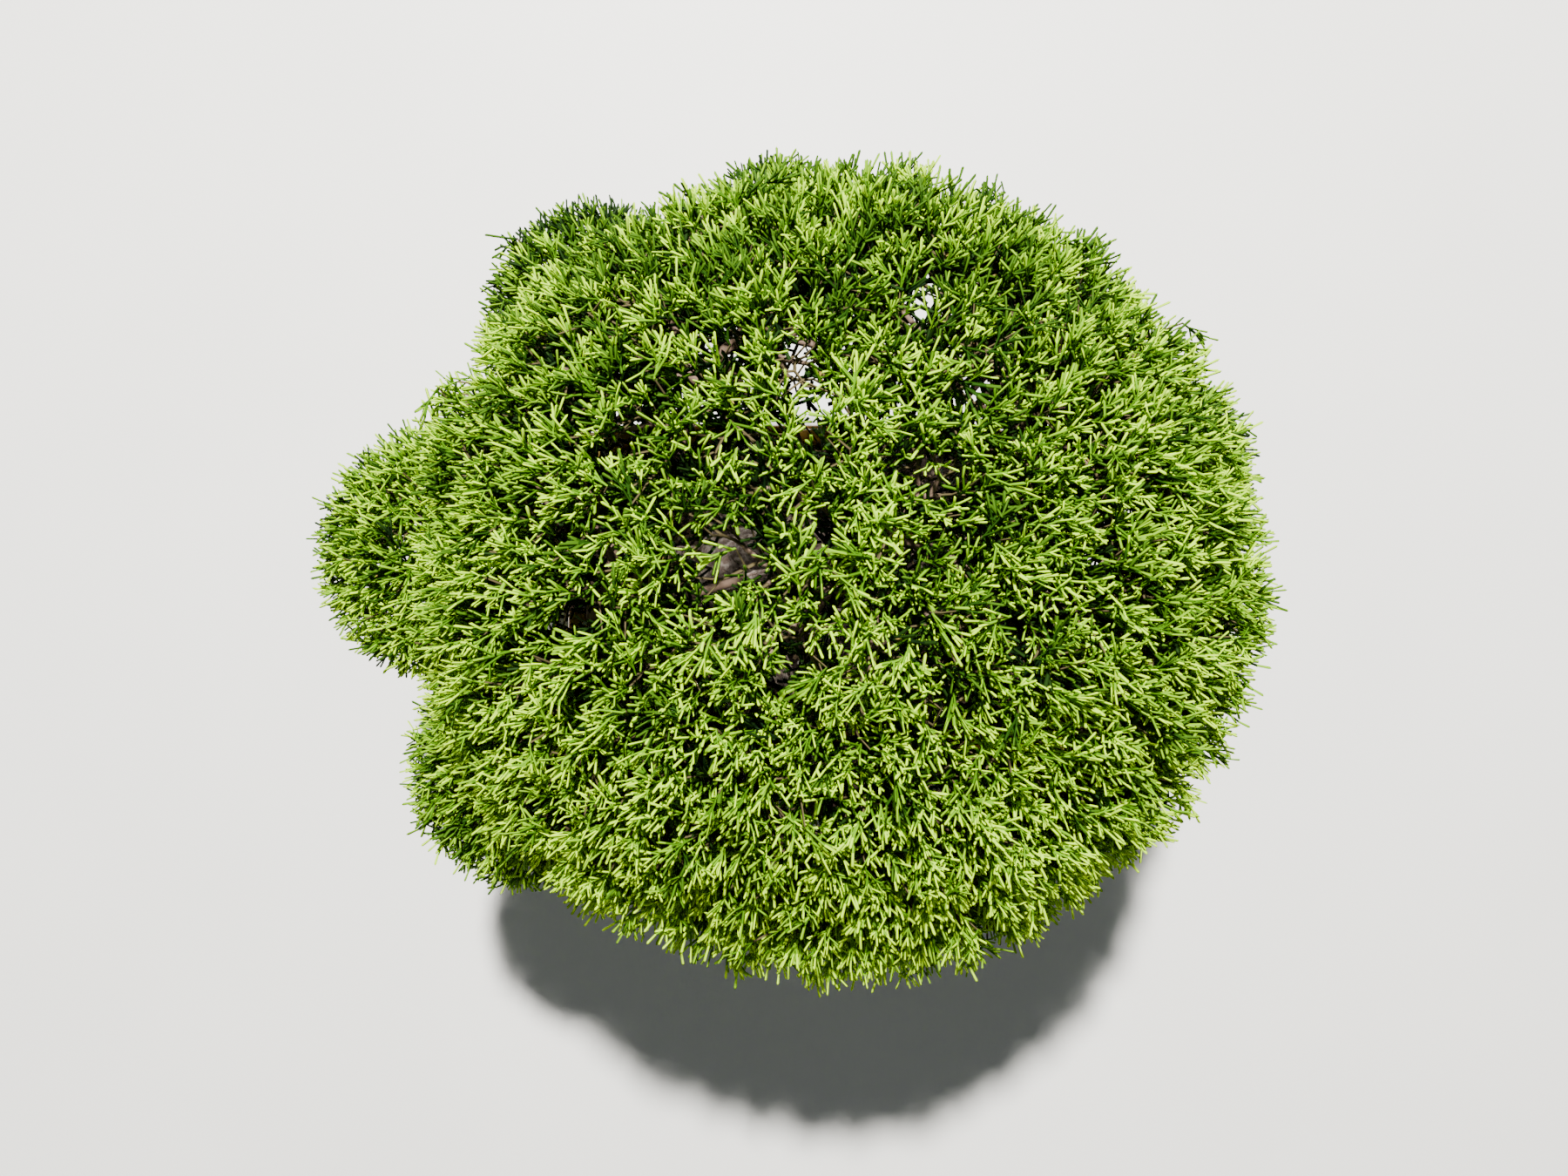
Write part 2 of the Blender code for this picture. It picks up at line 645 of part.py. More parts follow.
def spray_shape(stalk, base, tip, turn, fits, chance):
    """A spray: a slim three-sided core on its stalk, with needles that stand out of its faces.

    The stalk is a list of (point, radius), from its sunk root to the base of the spray. Every
    needle is shortened until fits(root, end) agrees, and left out if it gets too short.
    """
    ahead = tip - base
    length = ahead.length
    ahead.normalize()
    side = ahead.orthogonal().normalized()
    other = ahead.cross(side)
    stations = [(point, radius, 0) for point, radius in stalk]
    for ring, (share, radius) in enumerate(SPRAY_RINGS):
        stations.append((base + ahead * length * share, radius, ring))
    vertices = []
    for point, radius, shift in stations:
        for corner in range(3):
            angle = turn + math.pi * (2 * corner + shift) / 3
            out = side * math.cos(angle) + other * math.sin(angle)
            vertices.append(point + out * radius)
    vertices.append(tip)
    faces = [(2, 1, 0)]
    needles = 0
    last = 3 * (len(stations) - 1)
    for corner in range(3):
        near = (corner + 1) % 3
        for low in range(0, 3 * len(stalk), 3):
            high = low + 3
            faces += [(low + corner, low + near, high + near), (low + corner, high + near, high + corner)]
        faces.append((last + corner, last + near, len(vertices) - 1))
    for low in range(3 * len(stalk), last, 3):
        high = low + 3
        for corner in range(3):
            near = (corner + 1) % 3
            for face in ((low + corner, low + near, high + corner), (low + near, high + near, high + corner)):
                root = sum((vertices[k] for k in face), Vector()) / 3
                out = root - base
                out = (out - ahead * out.dot(ahead)).normalized()
                lean = math.radians(NEEDLE_LEAN + chance.uniform(-1, 1) * NEEDLE_SWAY)
                heading = ahead * math.cos(lean) + out * math.sin(lean)
                reach = NEEDLE_LENGTH * (1 - chance.uniform(0.0, NEEDLE_VARIETY))
                while reach > NEEDLE_LEAST and not fits(root, root + heading * reach):
                    reach -= NEEDLE_STEP
                if reach > NEEDLE_LEAST:
                    vertices.append(root + heading * reach)
                    end = len(vertices) - 1
                    a, b, c = face
                    faces += [(a, b, end), (b, c, end), (c, a, end)]
                    needles += 1
                else:
                    faces.append(face)
    return vertices, faces, needles


def split_tips(tips):
    """Halves the tips across the direction in which they spread most."""
    middle = sum(tips, Vector()) / len(tips)
    spread = Matrix(((0,) * 3,) * 3)
    for tip in tips:
        offset = tip - middle
        for row in range(3):
            for column in range(3):
                spread[row][column] += offset[row] * offset[column]
    axis = AXIS_GUESS
    for _ in range(AXIS_STEPS):
        axis = (spread @ axis).normalized()
    ordered = sorted(tips, key=lambda tip: tip.dot(axis))
    half = len(ordered) // 2
    return ordered[:half], ordered[half:]


def twig_radius(count):
    return TWIG_TIP * count ** TWIG_GROWTH


def fork_near(place, mass, masses, needed):
    """The place, or the nearest one on the way to the mass's seat that has the room needed."""
    for share in FORK_RETREATS:
        moved = place.lerp(mass.seat, share)
        if room(moved, mass, masses) > needed:
            return moved
    return None


def grow(mass, masses, limbs, point, tips, radius, shapes, solids, chance, lead=None):
    """Forks from a point towards the tips, halving them at every fork, and ends in sprays.

    The mass's stem goes to the middle of the mass, its rings square to the limb that it leads on.
    """

    def fits(root, end):
        if room(end, mass, masses) < 0 or gap_room(root, end) < 0:
            return False
        return all(limb.clear_of(root, end, NEEDLE_RADIUS) for limb in limbs)

    def add_shape(shape):
        shapes.append(shape)
        solids.append(BVHTree.FromPolygons(*shape))

    def add_spray(stalk, base, tip, parent):
        best = None
        for turn in SPRAY_TURNS:
            vertices, faces, needles = spray_shape(stalk, base, tip, math.radians(turn), fits, chance)
            solid = BVHTree.FromPolygons(vertices, faces)
            others = solids[:parent] + solids[parent + 1:]
            crossings = sum(len(solid.overlap(other)) for other in others)
            worth = needles - crossings * CROSSING_COST
            if best is None or worth > best[0]:
                best = (worth, (vertices, faces))
        add_shape(best[1])

    way = sum(tips, Vector()) / len(tips) - point
    last = len(tips) <= SPRAYS_ON_A_TWIG
    stem = lead is not None
    fork = mass.seat
    end_radius = twig_radius(1.0 if last else len(tips) * TWIG_THINNING)
    if not stem:
        reach = way.length * FORK_SHARE
        if last:
            reach = way.length - min(SPRAY_DEPTH, way.length * SPRAY_DEPTH_SHARE)
        fork = fork_near(point + way.normalized() * reach, mass, masses, end_radius)
        if fork is None or not all(limb.clear_of(point, fork, radius) for limb in limbs):
            return
    own = len(shapes)
    heading = (fork - point).normalized()
    foot = [(point + heading * radius * PINCH_LENGTH, radius)]
    foot.insert(0, (point, radius if stem else radius * PINCH))
    if stem or not last:
        end = fork + heading * end_radius * TWIG_OVERSHOOT
        add_shape(twig_shape(foot + [(end, end_radius)], lead or heading))
    if not last:
        for share, part in zip((SIDE_FORK, 1.0), split_tips(tips)):
            thin = twig_radius(len(part)) * TWIG_FOOT
            grow(mass, masses, limbs, point.lerp(fork, share), part, thin, shapes, solids, chance)
        return
    reached = []
    for tip in sorted(tips, key=lambda tip: -tip.dot(way)):
        if fits(fork, tip) and all(limb.clear_of(fork, tip, SPRAY_RADIUS) for limb in limbs):
            reached.append(tip)
    if reached and not stem:
        add_spray(foot + [(fork, end_radius)], fork, reached.pop(0), own)
    for index, tip in enumerate(reached):
        base = point.lerp(fork, 1 - (index + 1) * SPRAY_STAGGER)
        add_spray([(base, STALK_RADIUS)], base, tip, own)


def core_hull(mass, masses):
    """Directions from a mass's seat to even spots on its outer surface and, further apart, to its
    other sides, with the triangles that join them."""
    directions = []
    if mass.lobe is None:
        for bearing, elevation in dome_rows(CORE_SPACING, CORE_SPACING):
            place = dome_point(bearing, elevation, CORE_DEPTH)
            if room(place, mass, masses) > CORE_ROOM:
                directions.append((place - mass.seat).normalized())
        spare, apart = CORE_INNER_POINTS, CORE_INNER_APART
    else:
        spare, apart = CORE_LOBE_POINTS, 0.0
    for bearing, elevation in even_directions(spare):
        direction = direction_of(bearing, elevation)
        if all(direction.angle(other) > apart for other in directions):
            directions.append(direction)
    shape = bmesh.new()
    for direction in directions:
        shape.verts.new(direction)
    bmesh.ops.convex_hull(shape, input=shape.verts)
    bmesh.ops.triangulate(shape, faces=shape.faces)
    shape.verts.index_update()
    directions = [vertex.co.normalized() for vertex in shape.verts]
    sides = [tuple(vertex.index for vertex in face.verts) for face in shape.faces]
    shape.free()
    return directions, sides


def core_shape(mass, masses, limbs, wood, solids, chance):
    """The dense inside of a mass: a lump that fills its space up to a little under the surface,
    drawn in round gaps and limbs, with a pointed tuft on every outer face that has the room."""
    directions, sides = core_hull(mass, masses)
    way_out = ((mass.seat - CROWN_CENTRE).normalized() + Vector((0, 0, OUTWARD_LIFT))).normalized()

    def fits(start, point, needed, deepest, share, clear):
        if room(point, mass, masses) < needed:
            return False
        if mass.lobe is None:
            if point.z < CROWN_CENTRE.z - CROWN_DROP or not CORE_FLOOR < dome_depth(point) < deepest:
                return False
        else:
            offset = (point - mass.seat) / (mass.lobe * share)
            if Vector((offset.x, offset.y, offset.z / LOBE_FLATNESS)).length > 1:
                return False
        return gap_room(start, point) > clear

    reaches = []
    for direction in directions:
        reach = CORE_REACH
        while reach > CORE_LEAST and not fits(mass.seat, mass.seat + direction * reach, CORE_ROOM, CORE_DEPTH,
                                              CORE_LOBE_SHARE, CORE_GAP_ROOM):
            reach -= STEP
        reaches.append(reach * (1 - chance.uniform(0.0, CORE_ROUGHNESS)))
    touching = True
    while touching:
        vertices = [mass.seat + direction * reach for direction, reach in zip(directions, reaches)]
        touching = {face for face, _ in BVHTree.FromPolygons(vertices, sides).overlap(wood)}
        for corner in {corner for face in touching for corner in sides[face]}:
            reaches[corner] *= CORE_DRAW_IN
    faces = []
    for a, b, c in sides:
        middle = (vertices[a] + vertices[b] + vertices[c]) / 3
        away = (vertices[b] - vertices[a]).cross(vertices[c] - vertices[a]).normalized()
        away = (away + (middle - mass.seat).normalized() + way_out * TUFT_LIFT).normalized()
        height = TUFT_HEIGHT * (1 - chance.uniform(0.0, TUFT_VARIETY))
        while height > TUFT_LEAST and not (
                fits(middle, middle + away * height, 0.0, TUFT_DEPTH, TUFT_LOBE_SHARE, 0.0)
                and all(limb.clear_of(middle, middle + away * height, TUFT_RADIUS) for limb in limbs)):
            height -= STEP
        peak = middle + away * height
        corners = (vertices[a], vertices[b], vertices[c], peak)
        tuft = BVHTree.FromPolygons(corners, ((0, 1, 3), (1, 2, 3), (2, 0, 3)))
        outer = (middle - mass.seat).normalized().dot(way_out) > TUFT_FROM
        if height > TUFT_LEAST and outer and not any(tuft.overlap(other) for other in solids):
            vertices.append(peak)
            end = len(vertices) - 1
            faces += [(a, b, end), (b, c, end), (c, a, end)]
        else:
            faces.append((a, b, c))
    return vertices, faces


def fuse(name, shapes, material):
    """One Boolean union of all the shapes, kept as its largest shell."""
    group = bpy.data.collections.new(name)
    bpy.context.scene.collection.children.link(group)
    whole = add_object(name, *shapes[0], material)
    others = []
    for vertices, faces in shapes[1:]:
        item = add_object("part", vertices, faces)
        bpy.context.scene.collection.objects.unlink(item)
        group.objects.link(item)
        others.append(item)
    union = whole.modifiers.new("union", "BOOLEAN")
    union.operation = "UNION"
    union.operand_type = "COLLECTION"
    union.collection = group
    union.solver = "MANIFOLD"
    replace_mesh(whole)
    for item in others:
        bpy.data.objects.remove(item, do_unlink=True)
    bpy.data.collections.remove(group)
    keep_largest(whole.data)


def keep_largest(mesh):
    """Drops loose scraps and fills sealed hollows by keeping only the shell with most faces."""
    shape = bmesh.new()
    shape.from_mesh(mesh)
    bmesh.ops.remove_doubles(shape, verts=shape.verts, dist=SAME_PLACE)
    waiting = set(shape.faces)
    shells = []
    while waiting:
        shell = []
        frontier = [waiting.pop()]
        while frontier:
            face = frontier.pop()
            shell.append(face)
            for edge in face.edges:
                for near in edge.link_faces:
                    if near in waiting:
                        waiting.remove(near)
                        frontier.append(near)
        shells.append(shell)
    shells.sort(key=len)
    for shell in shells[:-1]:
        bmesh.ops.delete(shape, geom=shell, context="FACES")
    shape.to_mesh(mesh)
    shape.free()


# Assembly

def find_root(mass, masses, origin, least):
    """Where the mass's stem starts: towards the origin from the seat, still in its own space."""
    way = origin - mass.seat
    reach = min(way.length, STEM_OUT)
    while room(mass.seat + way.normalized() * reach, mass, masses) < least:
        reach -= STEP
    return mass.seat + way.normalized() * reach


def near_bearing(first, second):
    return abs((first - second + 180) % 360 - 180)


def share_at(limb, height):
    """The share of a rising limb's length at which it reaches a height."""
    for index, (low, high) in enumerate(zip(limb.points, limb.points[1:])):
        if low.z <= height <= high.z:
            return (index + (height - low.z) / (high.z - low.z)) / (len(limb.points) - 1)
    return 1.0


def plan_boughs(trunk, masses):
    """A bough for every mass but the top one, with its parent, and where each mass's stem starts."""
    boughs = []
    stems = {}

    def add_bough(mass, parent, share, radius, rise):
        start, _, _ = parent.at(share)
        thick = twig_radius(len(mass.tips))
        root = find_root(mass, masses, start, thick * STEM_ROOM)
        heading = (mass.seat - root).normalized()
        bough = make_bough("bough_" + mass.name, parent, share, root, heading, radius,
                           thick * BOUGH_TIP, rise)
        stems[mass.name] = (root + heading * GAP, thick, heading)
        boughs.append((bough, parent))
        return bough

    low_boughs = []
    lobes = [mass for mass in masses if mass.lobe]
    for mass, height in zip(lobes, LOW_BOUGH_HEIGHTS):
        bough = add_bough(mass, trunk, share_at(trunk, height), LOW_BOUGH_RADIUS, LOW_RISE)
        low_boughs.append((mass.bearing, bough))
    for mass in masses:
        if mass.ring != "brim":
            continue
        bearing, parent = min(low_boughs, key=lambda low: near_bearing(low[0], mass.bearing))
        if near_bearing(bearing, mass.bearing) < SIDE_BOUGH_NEAR:
            add_bough(mass, parent, SIDE_BOUGH_START, SIDE_BOUGH_RADIUS, SIDE_RISE)
        else:
            add_bough(mass, trunk, share_at(trunk, FREE_BRIM_HEIGHT), LOW_BOUGH_RADIUS, LOW_RISE)
    shoulders = [mass for mass in masses if mass.ring == "shoulder"]
    for mass, height in zip(shoulders, SHOULDER_HEIGHTS):
        add_bough(mass, trunk, share_at(trunk, height), HIGH_BOUGH_RADIUS, LOW_RISE)
    crest = trunk.points[-1]
    heading = (crest - trunk.points[-2]).normalized()
    stems["top"] = (crest + heading * GAP, TRUNK_TIP_RADIUS, heading)
    return boughs, stems


def make_limbs(trunk, boughs, material):
    """The trunk, and each bough cut back to a gap round the limb that it springs from."""
    shade_round(add_object("trunk", *loft(trunk_rings(trunk)), material))
    for bough, parent in boughs:
        item = add_object(bough.name, *loft(sweep(bough.points, bough.radii, BOUGH_SIDES)), material)
        if parent is trunk:
            cutter = add_object("cutter", *loft(trunk_rings(trunk, GAP)))
        else:
            cutter = add_object("cutter", *loft(sweep(parent.points, parent.radii, BOUGH_SIDES, None, GAP)))
        bpy.context.view_layer.update()
        cut_away(item, cutter)
        keep_largest(item.data)
        shade_round(item)


def surface_of(limbs):
    """One search tree of all the limbs, a little thicker than they are."""
    vertices = []
    faces = []
    for limb in limbs:
        points, sides = loft(sweep(limb.points, limb.radii, TRUNK_SIDES, None, CORE_LIMB_ROOM))
        faces += [tuple(corner + len(vertices) for corner in side) for side in sides]
        vertices += points
    return BVHTree.FromPolygons(vertices, faces)


def main():
    clear_scene()
    glaze = make_material("glaze", (0.16, 0.17, 0.035), 0.18)
    grit = make_material("soil", (0.20, 0.15, 0.12), 0.95)
    bark = make_material("bark", (0.27, 0.20, 0.15), 0.9)
    green = make_material("foliage", (0.16, 0.34, 0.03), 0.6)

    make_pot(glaze)
    make_soil(grit)
    trunk = make_trunk()
    masses = plan_masses()
    spread_tips(masses)
    boughs, stems = plan_boughs(trunk, masses)
    make_limbs(trunk, boughs, bark)

    limbs = [trunk] + [bough for bough, _ in boughs]
    wood = surface_of(limbs)
    chance = random.Random(SEED)
    for mass in masses:
        start, thick, lead = stems[mass.name]
        shapes = []
        solids = []
        grow(mass, masses, limbs, start, mass.tips, thick, shapes, solids, chance, lead)
        core = core_shape(mass, masses, limbs, wood, solids, chance)
        fuse("foliage_" + mass.name, [core] + shapes, green)


main()
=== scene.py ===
"""A juniper bonsai in an olive-glazed pot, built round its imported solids.

The crown repeats the rule of the solids: masses on a clipped dome and on the lobes under its brim,
each grown from the end of its own bough. Here the same twigs are carried on to many more and finer
ones, and every twig ends in a spray of scale-leaf shoots.
"""

import json
import math
import random
from collections import namedtuple

import bmesh
import bpy
import numpy as np
from bpy.props import FloatProperty, FloatVectorProperty, IntProperty, PointerProperty
from bpy.types import NodeSocket, Operator, Panel, PropertyGroup
from mathutils import Matrix, Vector, noise

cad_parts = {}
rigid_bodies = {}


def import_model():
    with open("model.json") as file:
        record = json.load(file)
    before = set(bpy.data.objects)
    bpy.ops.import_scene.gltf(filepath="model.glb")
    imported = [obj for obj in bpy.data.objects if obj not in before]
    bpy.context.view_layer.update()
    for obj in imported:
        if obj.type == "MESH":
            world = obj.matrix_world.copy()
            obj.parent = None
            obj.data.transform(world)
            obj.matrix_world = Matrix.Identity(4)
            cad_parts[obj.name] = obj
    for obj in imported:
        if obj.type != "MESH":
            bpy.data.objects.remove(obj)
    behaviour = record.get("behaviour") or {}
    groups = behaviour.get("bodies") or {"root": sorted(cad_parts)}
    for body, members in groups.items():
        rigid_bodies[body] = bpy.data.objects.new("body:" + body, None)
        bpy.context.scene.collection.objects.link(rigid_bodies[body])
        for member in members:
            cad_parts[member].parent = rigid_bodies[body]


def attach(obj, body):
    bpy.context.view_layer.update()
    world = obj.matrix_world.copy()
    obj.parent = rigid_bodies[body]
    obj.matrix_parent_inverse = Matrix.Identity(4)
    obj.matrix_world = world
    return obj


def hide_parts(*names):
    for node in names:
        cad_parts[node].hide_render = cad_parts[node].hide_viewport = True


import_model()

bl_info = {
    "name": "Juniper Bonsai",
    "version": (1, 0, 0),
    "blender": (4, 5, 0),
    "location": "3D View > Sidebar > Bonsai",
    "description": "Builds a clipped juniper bonsai, its pot and its soil",
    "category": "Add Mesh",
}

ROOT = "root"
SEED = 11
FULL_TURN = 2 * math.pi
GOLDEN_ANGLE = math.pi * (3 - math.sqrt(5))
TINY = 1e-12

# Pot and soil, as in the solids.
GAP = 0.0003
POT_LENGTH = 0.200
POT_WIDTH = 0.136
POT_HEIGHT = 0.056
POT_CORNER = 0.030
POT_CORNER_SHRINK = 0.6
POT_LEAST_CORNER = 0.010
POT_FLOOR = 0.007
POT_FOOT_INSET = 0.012
POT_FOOT_HEIGHT = 0.006
POT_RIM_HEIGHT = 0.009
POT_RIM_STEP = 0.003
POT_RIM_WIDTH = 0.0075
POT_BEVEL = 0.002
POT_BELLY_INSET = 0.006
POT_BELLY_SHARE = 0.45
POT_INNER_TAPER = 0.007
DRAIN_RADIUS = 0.006
DRAIN_SPREAD = 0.050
SOIL_EDGE_HEIGHT = 0.0490
SOIL_TOP_HEIGHT = 0.0535

# Finish of the pot and the soil, only here.
CORNER_REACH = 0.48             # most of an edge that the rounding of one corner takes
CORNER_ROUND_STEPS = 5
THIN_SPAN = (0.15, 0.7)         # part of half a wave that the thin glaze follows at a corner
FOOT_WIDTH = 0.012
FLOOR_EDGE = 0.030              # from the rim's inside to where the pot's floor is closed
CLAY_TOP = POT_FOOT_HEIGHT * 0.75   # below it the pot is bare clay
SHARP_EDGE = 40.0               # degrees
DRAIN_SIDES = 32
SOIL_ROOM = 0.0004              # between the bed and the pot's wall
SOIL_CORNER_STEPS = 8
SOIL_LEVELS = 26
SOIL_MIDDLE = 0.001             # half the width of the flat left in the middle
MOUND_FADE = 0.012
MOUND_MOST = 0.0042
SOIL_GRAIN = 210.0
SOIL_ROUGHNESS = 0.0005
GRIT = (
    ("grit_pink", (0.38, 0.28, 0.235)),
    ("grit_tan", (0.42, 0.31, 0.20)),
    ("grit_dark", (0.075, 0.062, 0.055)),
    ("grit_pale", (0.62, 0.57, 0.51)),
)
GRIT_SHINE = (0.9, 0.3)         # roughness and specular level
GRIT_SHARES = (0.62, 0.32, 0.12)    # below which each kind after the first is dealt
GRIT_SHAPES = 6
GRIT_REACH = (0.72, 1.05)       # of a grain's corners, over its radius
GRIT_FLATNESS = 0.72
GRIT_SIZES = (0.55, 1.15)
GRIT_SLOPE = 0.3                # grit lies where the soil's normal points up by more than this
GRIT_DEAL_SEED = 5
GRIT_TURN = (6.28, 6.28, 6.28)

# Trunk and boughs, as in the solids.
TRUNK_FOOT = Vector((-0.030, 0.004, SOIL_TOP_HEIGHT + GAP))
TRUNK_TIP_HEIGHT = 0.204
TRUNK_LEAN = 0.034
TRUNK_LEAN_POWER = 1.5
TRUNK_SWAY = 0.008
TRUNK_SWAY_TURNS = 0.9
TRUNK_DEPTH_SHARE = 0.75
TRUNK_DEPTH_TURNS = 0.7
TRUNK_DEPTH_LEAN = 0.008
TRUNK_FOOT_RADIUS = 0.0117
TRUNK_TIP_RADIUS = 0.0026
TRUNK_TAPER_POWER = 0.9
FLARE = 0.0085
FLARE_FADE = 0.009
ROOT_RIDGES = 5
ROOT_RIDGE_DEPTH = 0.24
ROOT_RIDGE_FADE = FLARE_FADE * 1.4
ROOT_RIDGE_TURN = 0.5
BARK_SWELLS = ((0.07, 3, 9.0), (0.04, 5, -14.0))
TRUNK_RINGS = 22
TRUNK_RING_POWER = 1.35
BOUGH_RINGS = 5
LOW_BOUGH_RADIUS = 0.0043
SIDE_BOUGH_RADIUS = 0.0029
HIGH_BOUGH_RADIUS = 0.0024
LOW_BOUGH_HEIGHTS = (0.090, 0.112, 0.098, 0.092, 0.118, 0.104, 0.124)
FREE_BRIM_HEIGHT = 0.126
SHOULDER_HEIGHTS = (0.158, 0.176, 0.164, 0.182, 0.170)
SIDE_BOUGH_START = 0.46
SIDE_BOUGH_NEAR = 30.0
LOW_RISE = 0.11
SIDE_RISE = 0.30
BOUGH_SWAY = 0.030
BOUGH_TAPER = 0.8
BOUGH_LEAVE = 0.42
BOUGH_ARRIVE = 0.34
BOUGH_TIP = 0.86
STEM_ROOM = 1.6
STEM_OUT = 0.050
STEP = 0.001

# Bark, only here. Scales are waves to a metre.
BARK_ROUND = (1.1, 230.0)       # waves round a limb: at least, and more to a metre of radius
BARK_TWIST = 9.0                # turn of the fibres, radians to a metre
BARK_ALONG = 140.0
BARK_COARSE = (2.4, 0.62)       # how sharp the long flakes are, and their part of the height
BARK_FINE = (2.2, 0.38)
BARK_FINE_SCALE = (2.6, 2.1, 7.0)   # round, along and shift of the small flakes
BARK_MIDDLE = 0.55              # height of the bark that lies on the limb's own surface
RELIEF_TAPER = 0.6              # power with which the relief fades on thinner limbs
COLLAR = 0.45                   # swelling where a bough leaves its parent
COLLAR_FADE = 1.6               # over the bough's radius
UPRIGHT = 0.95                  # a limb that runs this much sideways gets another side direction
TRUNK_MESH = (88, 190)          # sides and rings
THICK_MESH = (30, 100)
THIN_MESH = (20, 100)
THICK_BOUGH = 0.004
TRUNK_SUNK = 0.0015
BARK_SEEDS = (3.0, 11.0)        # of the trunk, and between one bough and the next

# Crown, as in the solids.
CROWN_CENTRE = Vector((0.0095, 0.0077, 0.155))
CROWN_RADIUS = 0.1450
CROWN_RISE = 0.096
CROWN_DROP = 0.052
CROWN_WAVES = ((1, 0.029, 218.0), (2, 0.028, 3.0), (5, 0.013, 1.0))
LOWEST_TIPS = -20.0
SEAT_SHARE = 0.68
SPACE_MARGIN = 0.0006
DOME_RINGS = (
    ("top", 1, 0.0, 90.0),
    ("shoulder", 5, 50.0, 42.0),
    ("brim", 8, 50.0, 8.0),
)
LOWER_LOBES = {
    "left": (178.0, 0.185, 0.140, 0.050),
    "back_left": (134.0, 0.167, 0.131, 0.044),
    "back": (100.0, 0.149, 0.134, 0.038),
    "right": (16.0, 0.154, 0.132, 0.040),
    "front_right": (318.0, 0.142, 0.126, 0.038),
    "front": (276.0, 0.140, 0.124, 0.038),
    "front_left": (213.0, 0.176, 0.134, 0.049),
}
LOBE_FLATNESS = 0.62
GAP_APEX = Vector((-0.010, 0.0, 0.545))
GAP_LEVEL = 0.240
SOLID_GAPS = (
    (0.0261, 0.0744, 0.0095),
    (-0.0044, 0.0541, 0.0100),
    (-0.0224, 0.0056, 0.0085),
)
SOLID_SPACING = 0.0500
SOLID_TOP_SPACING = 0.0400
SOLID_LOBE_TIPS = 10
SOLID_TWIG = 0.00085
SOLID_GROWTH = 0.45
LOBE_UNDERSIDE = -0.75
LOBE_BACK = 0.6
TIP_ROOM = 0.001
ROW_SHARE = 0.90
ROW_TURN = 0.22

# Finer gaps, which only the sprays keep open: (x, y, open radius, thin radius) at the height
# GAP_LEVEL. Between the two radii only some of the sprays are left.
FINE_GAPS = (
    (-0.0060, 0.0612, 0.0014, 0.0046),
    (-0.0048, 0.0545, 0.0015, 0.0046),
    (0.0010, 0.0470, 0.0003, 0.0040),
    (0.0256, 0.0706, 0.0018, 0.0048),
    (0.0274, 0.0771, 0.0012, 0.0042),
    (0.0418, 0.0525, 0.0018, 0.0046),
    (-0.0249, 0.0037, 0.0018, 0.0060),
    (-0.0185, 0.0074, 0.0012, 0.0055),
    (-0.0290, 0.0110, 0.0016, 0.0060),
    (-0.0495, 0.0378, 0.0016, 0.0050),
    (-0.0037, 0.0393, 0.0021, 0.0042),
    (0.0270, 0.0290, 0.0022, 0.0070),
    (-0.0258, 0.0609, 0.0000, 0.0055),
    (-0.0623, -0.0080, 0.0014, 0.0050),
    (-0.0056, -0.0120, 0.0012, 0.0045),
    (0.0483, -0.0099, 0.0008, 0.0040),
    (0.0297, -0.0309, 0.0008, 0.0040),
    (-0.0017, -0.0598, 0.0006, 0.0035),
)
THIN_SHARE = 0.62               # share of the sprays kept in a thin place
GAP_MARGIN = 0.0010
ALONG_SPRAY = (0.0, 0.5, 1.0)   # spots of a spray that are tested against limbs and beams
LIMB_ROOM = 0.0012

# Light. The way to the main lamp is 33 degrees off the vertical.
LAMP_ANGLE = math.radians(33)
LAMP_WAY = Vector((-0.03, math.sin(LAMP_ANGLE), math.cos(LAMP_ANGLE)))
LAMPS = {                       # width, colour and place as seen from the crown's middle
    "key": (0.16, (1.0, 0.975, 0.93), LAMP_WAY * 2.2),
    "over": (0.60, (0.95, 0.98, 1.0), Vector((0.0, -0.15, 2.0))),
}
SKY_COLOUR = (0.88, 0.94, 1.0, 1.0)
FLOOR_HALF = 4.0
FLOOR_LEVEL = -0.0002
CAMERA_CLIP = (0.01, 50.0)
SENSOR_WIDTH = 36.0             # millimetres

# Places inside the crown that the main lamp reaches, each with the radius of its beam. Only some of
# the sprays in the beam's way are left.
BEAMS = (
    (Vector((-0.0223, 0.0041, 0.176)), 0.0060),
    (Vector((-0.0460, 0.0180, 0.054)), 0.0040),
    (Vector((0.0500, 0.0430, 0.060)), 0.0060),
    (Vector((0.0005, 0.0635, 0.056)), 0.0035),
)
BEAM_SHARE = 0.30               # share of the sprays kept in a beam

# Where the sprays stand.
SPRAY_FOCUS = Vector((-0.0035, 0.0185, 0.120))   # the sprays fan out from here
FOCUS_PULL = 0.6                # weight of the way from the focus, on the dome and on a lobe
LOBE_FOCUS_PULL = 0.5
SPRAY_TILT = 22.0               # degrees that a spray may lean off its way, as a spread
TOP_TILT = 44.0                 # the same at the top of the dome
MOST_LEAN = 75.0
# The kinds are lit and shaded copies of one green: painted sunlight, the ordinary tone, painted
# half shade and painted deep shade.
SPRAY_KINDS = ("sun", "fresh", "deep", "inner")
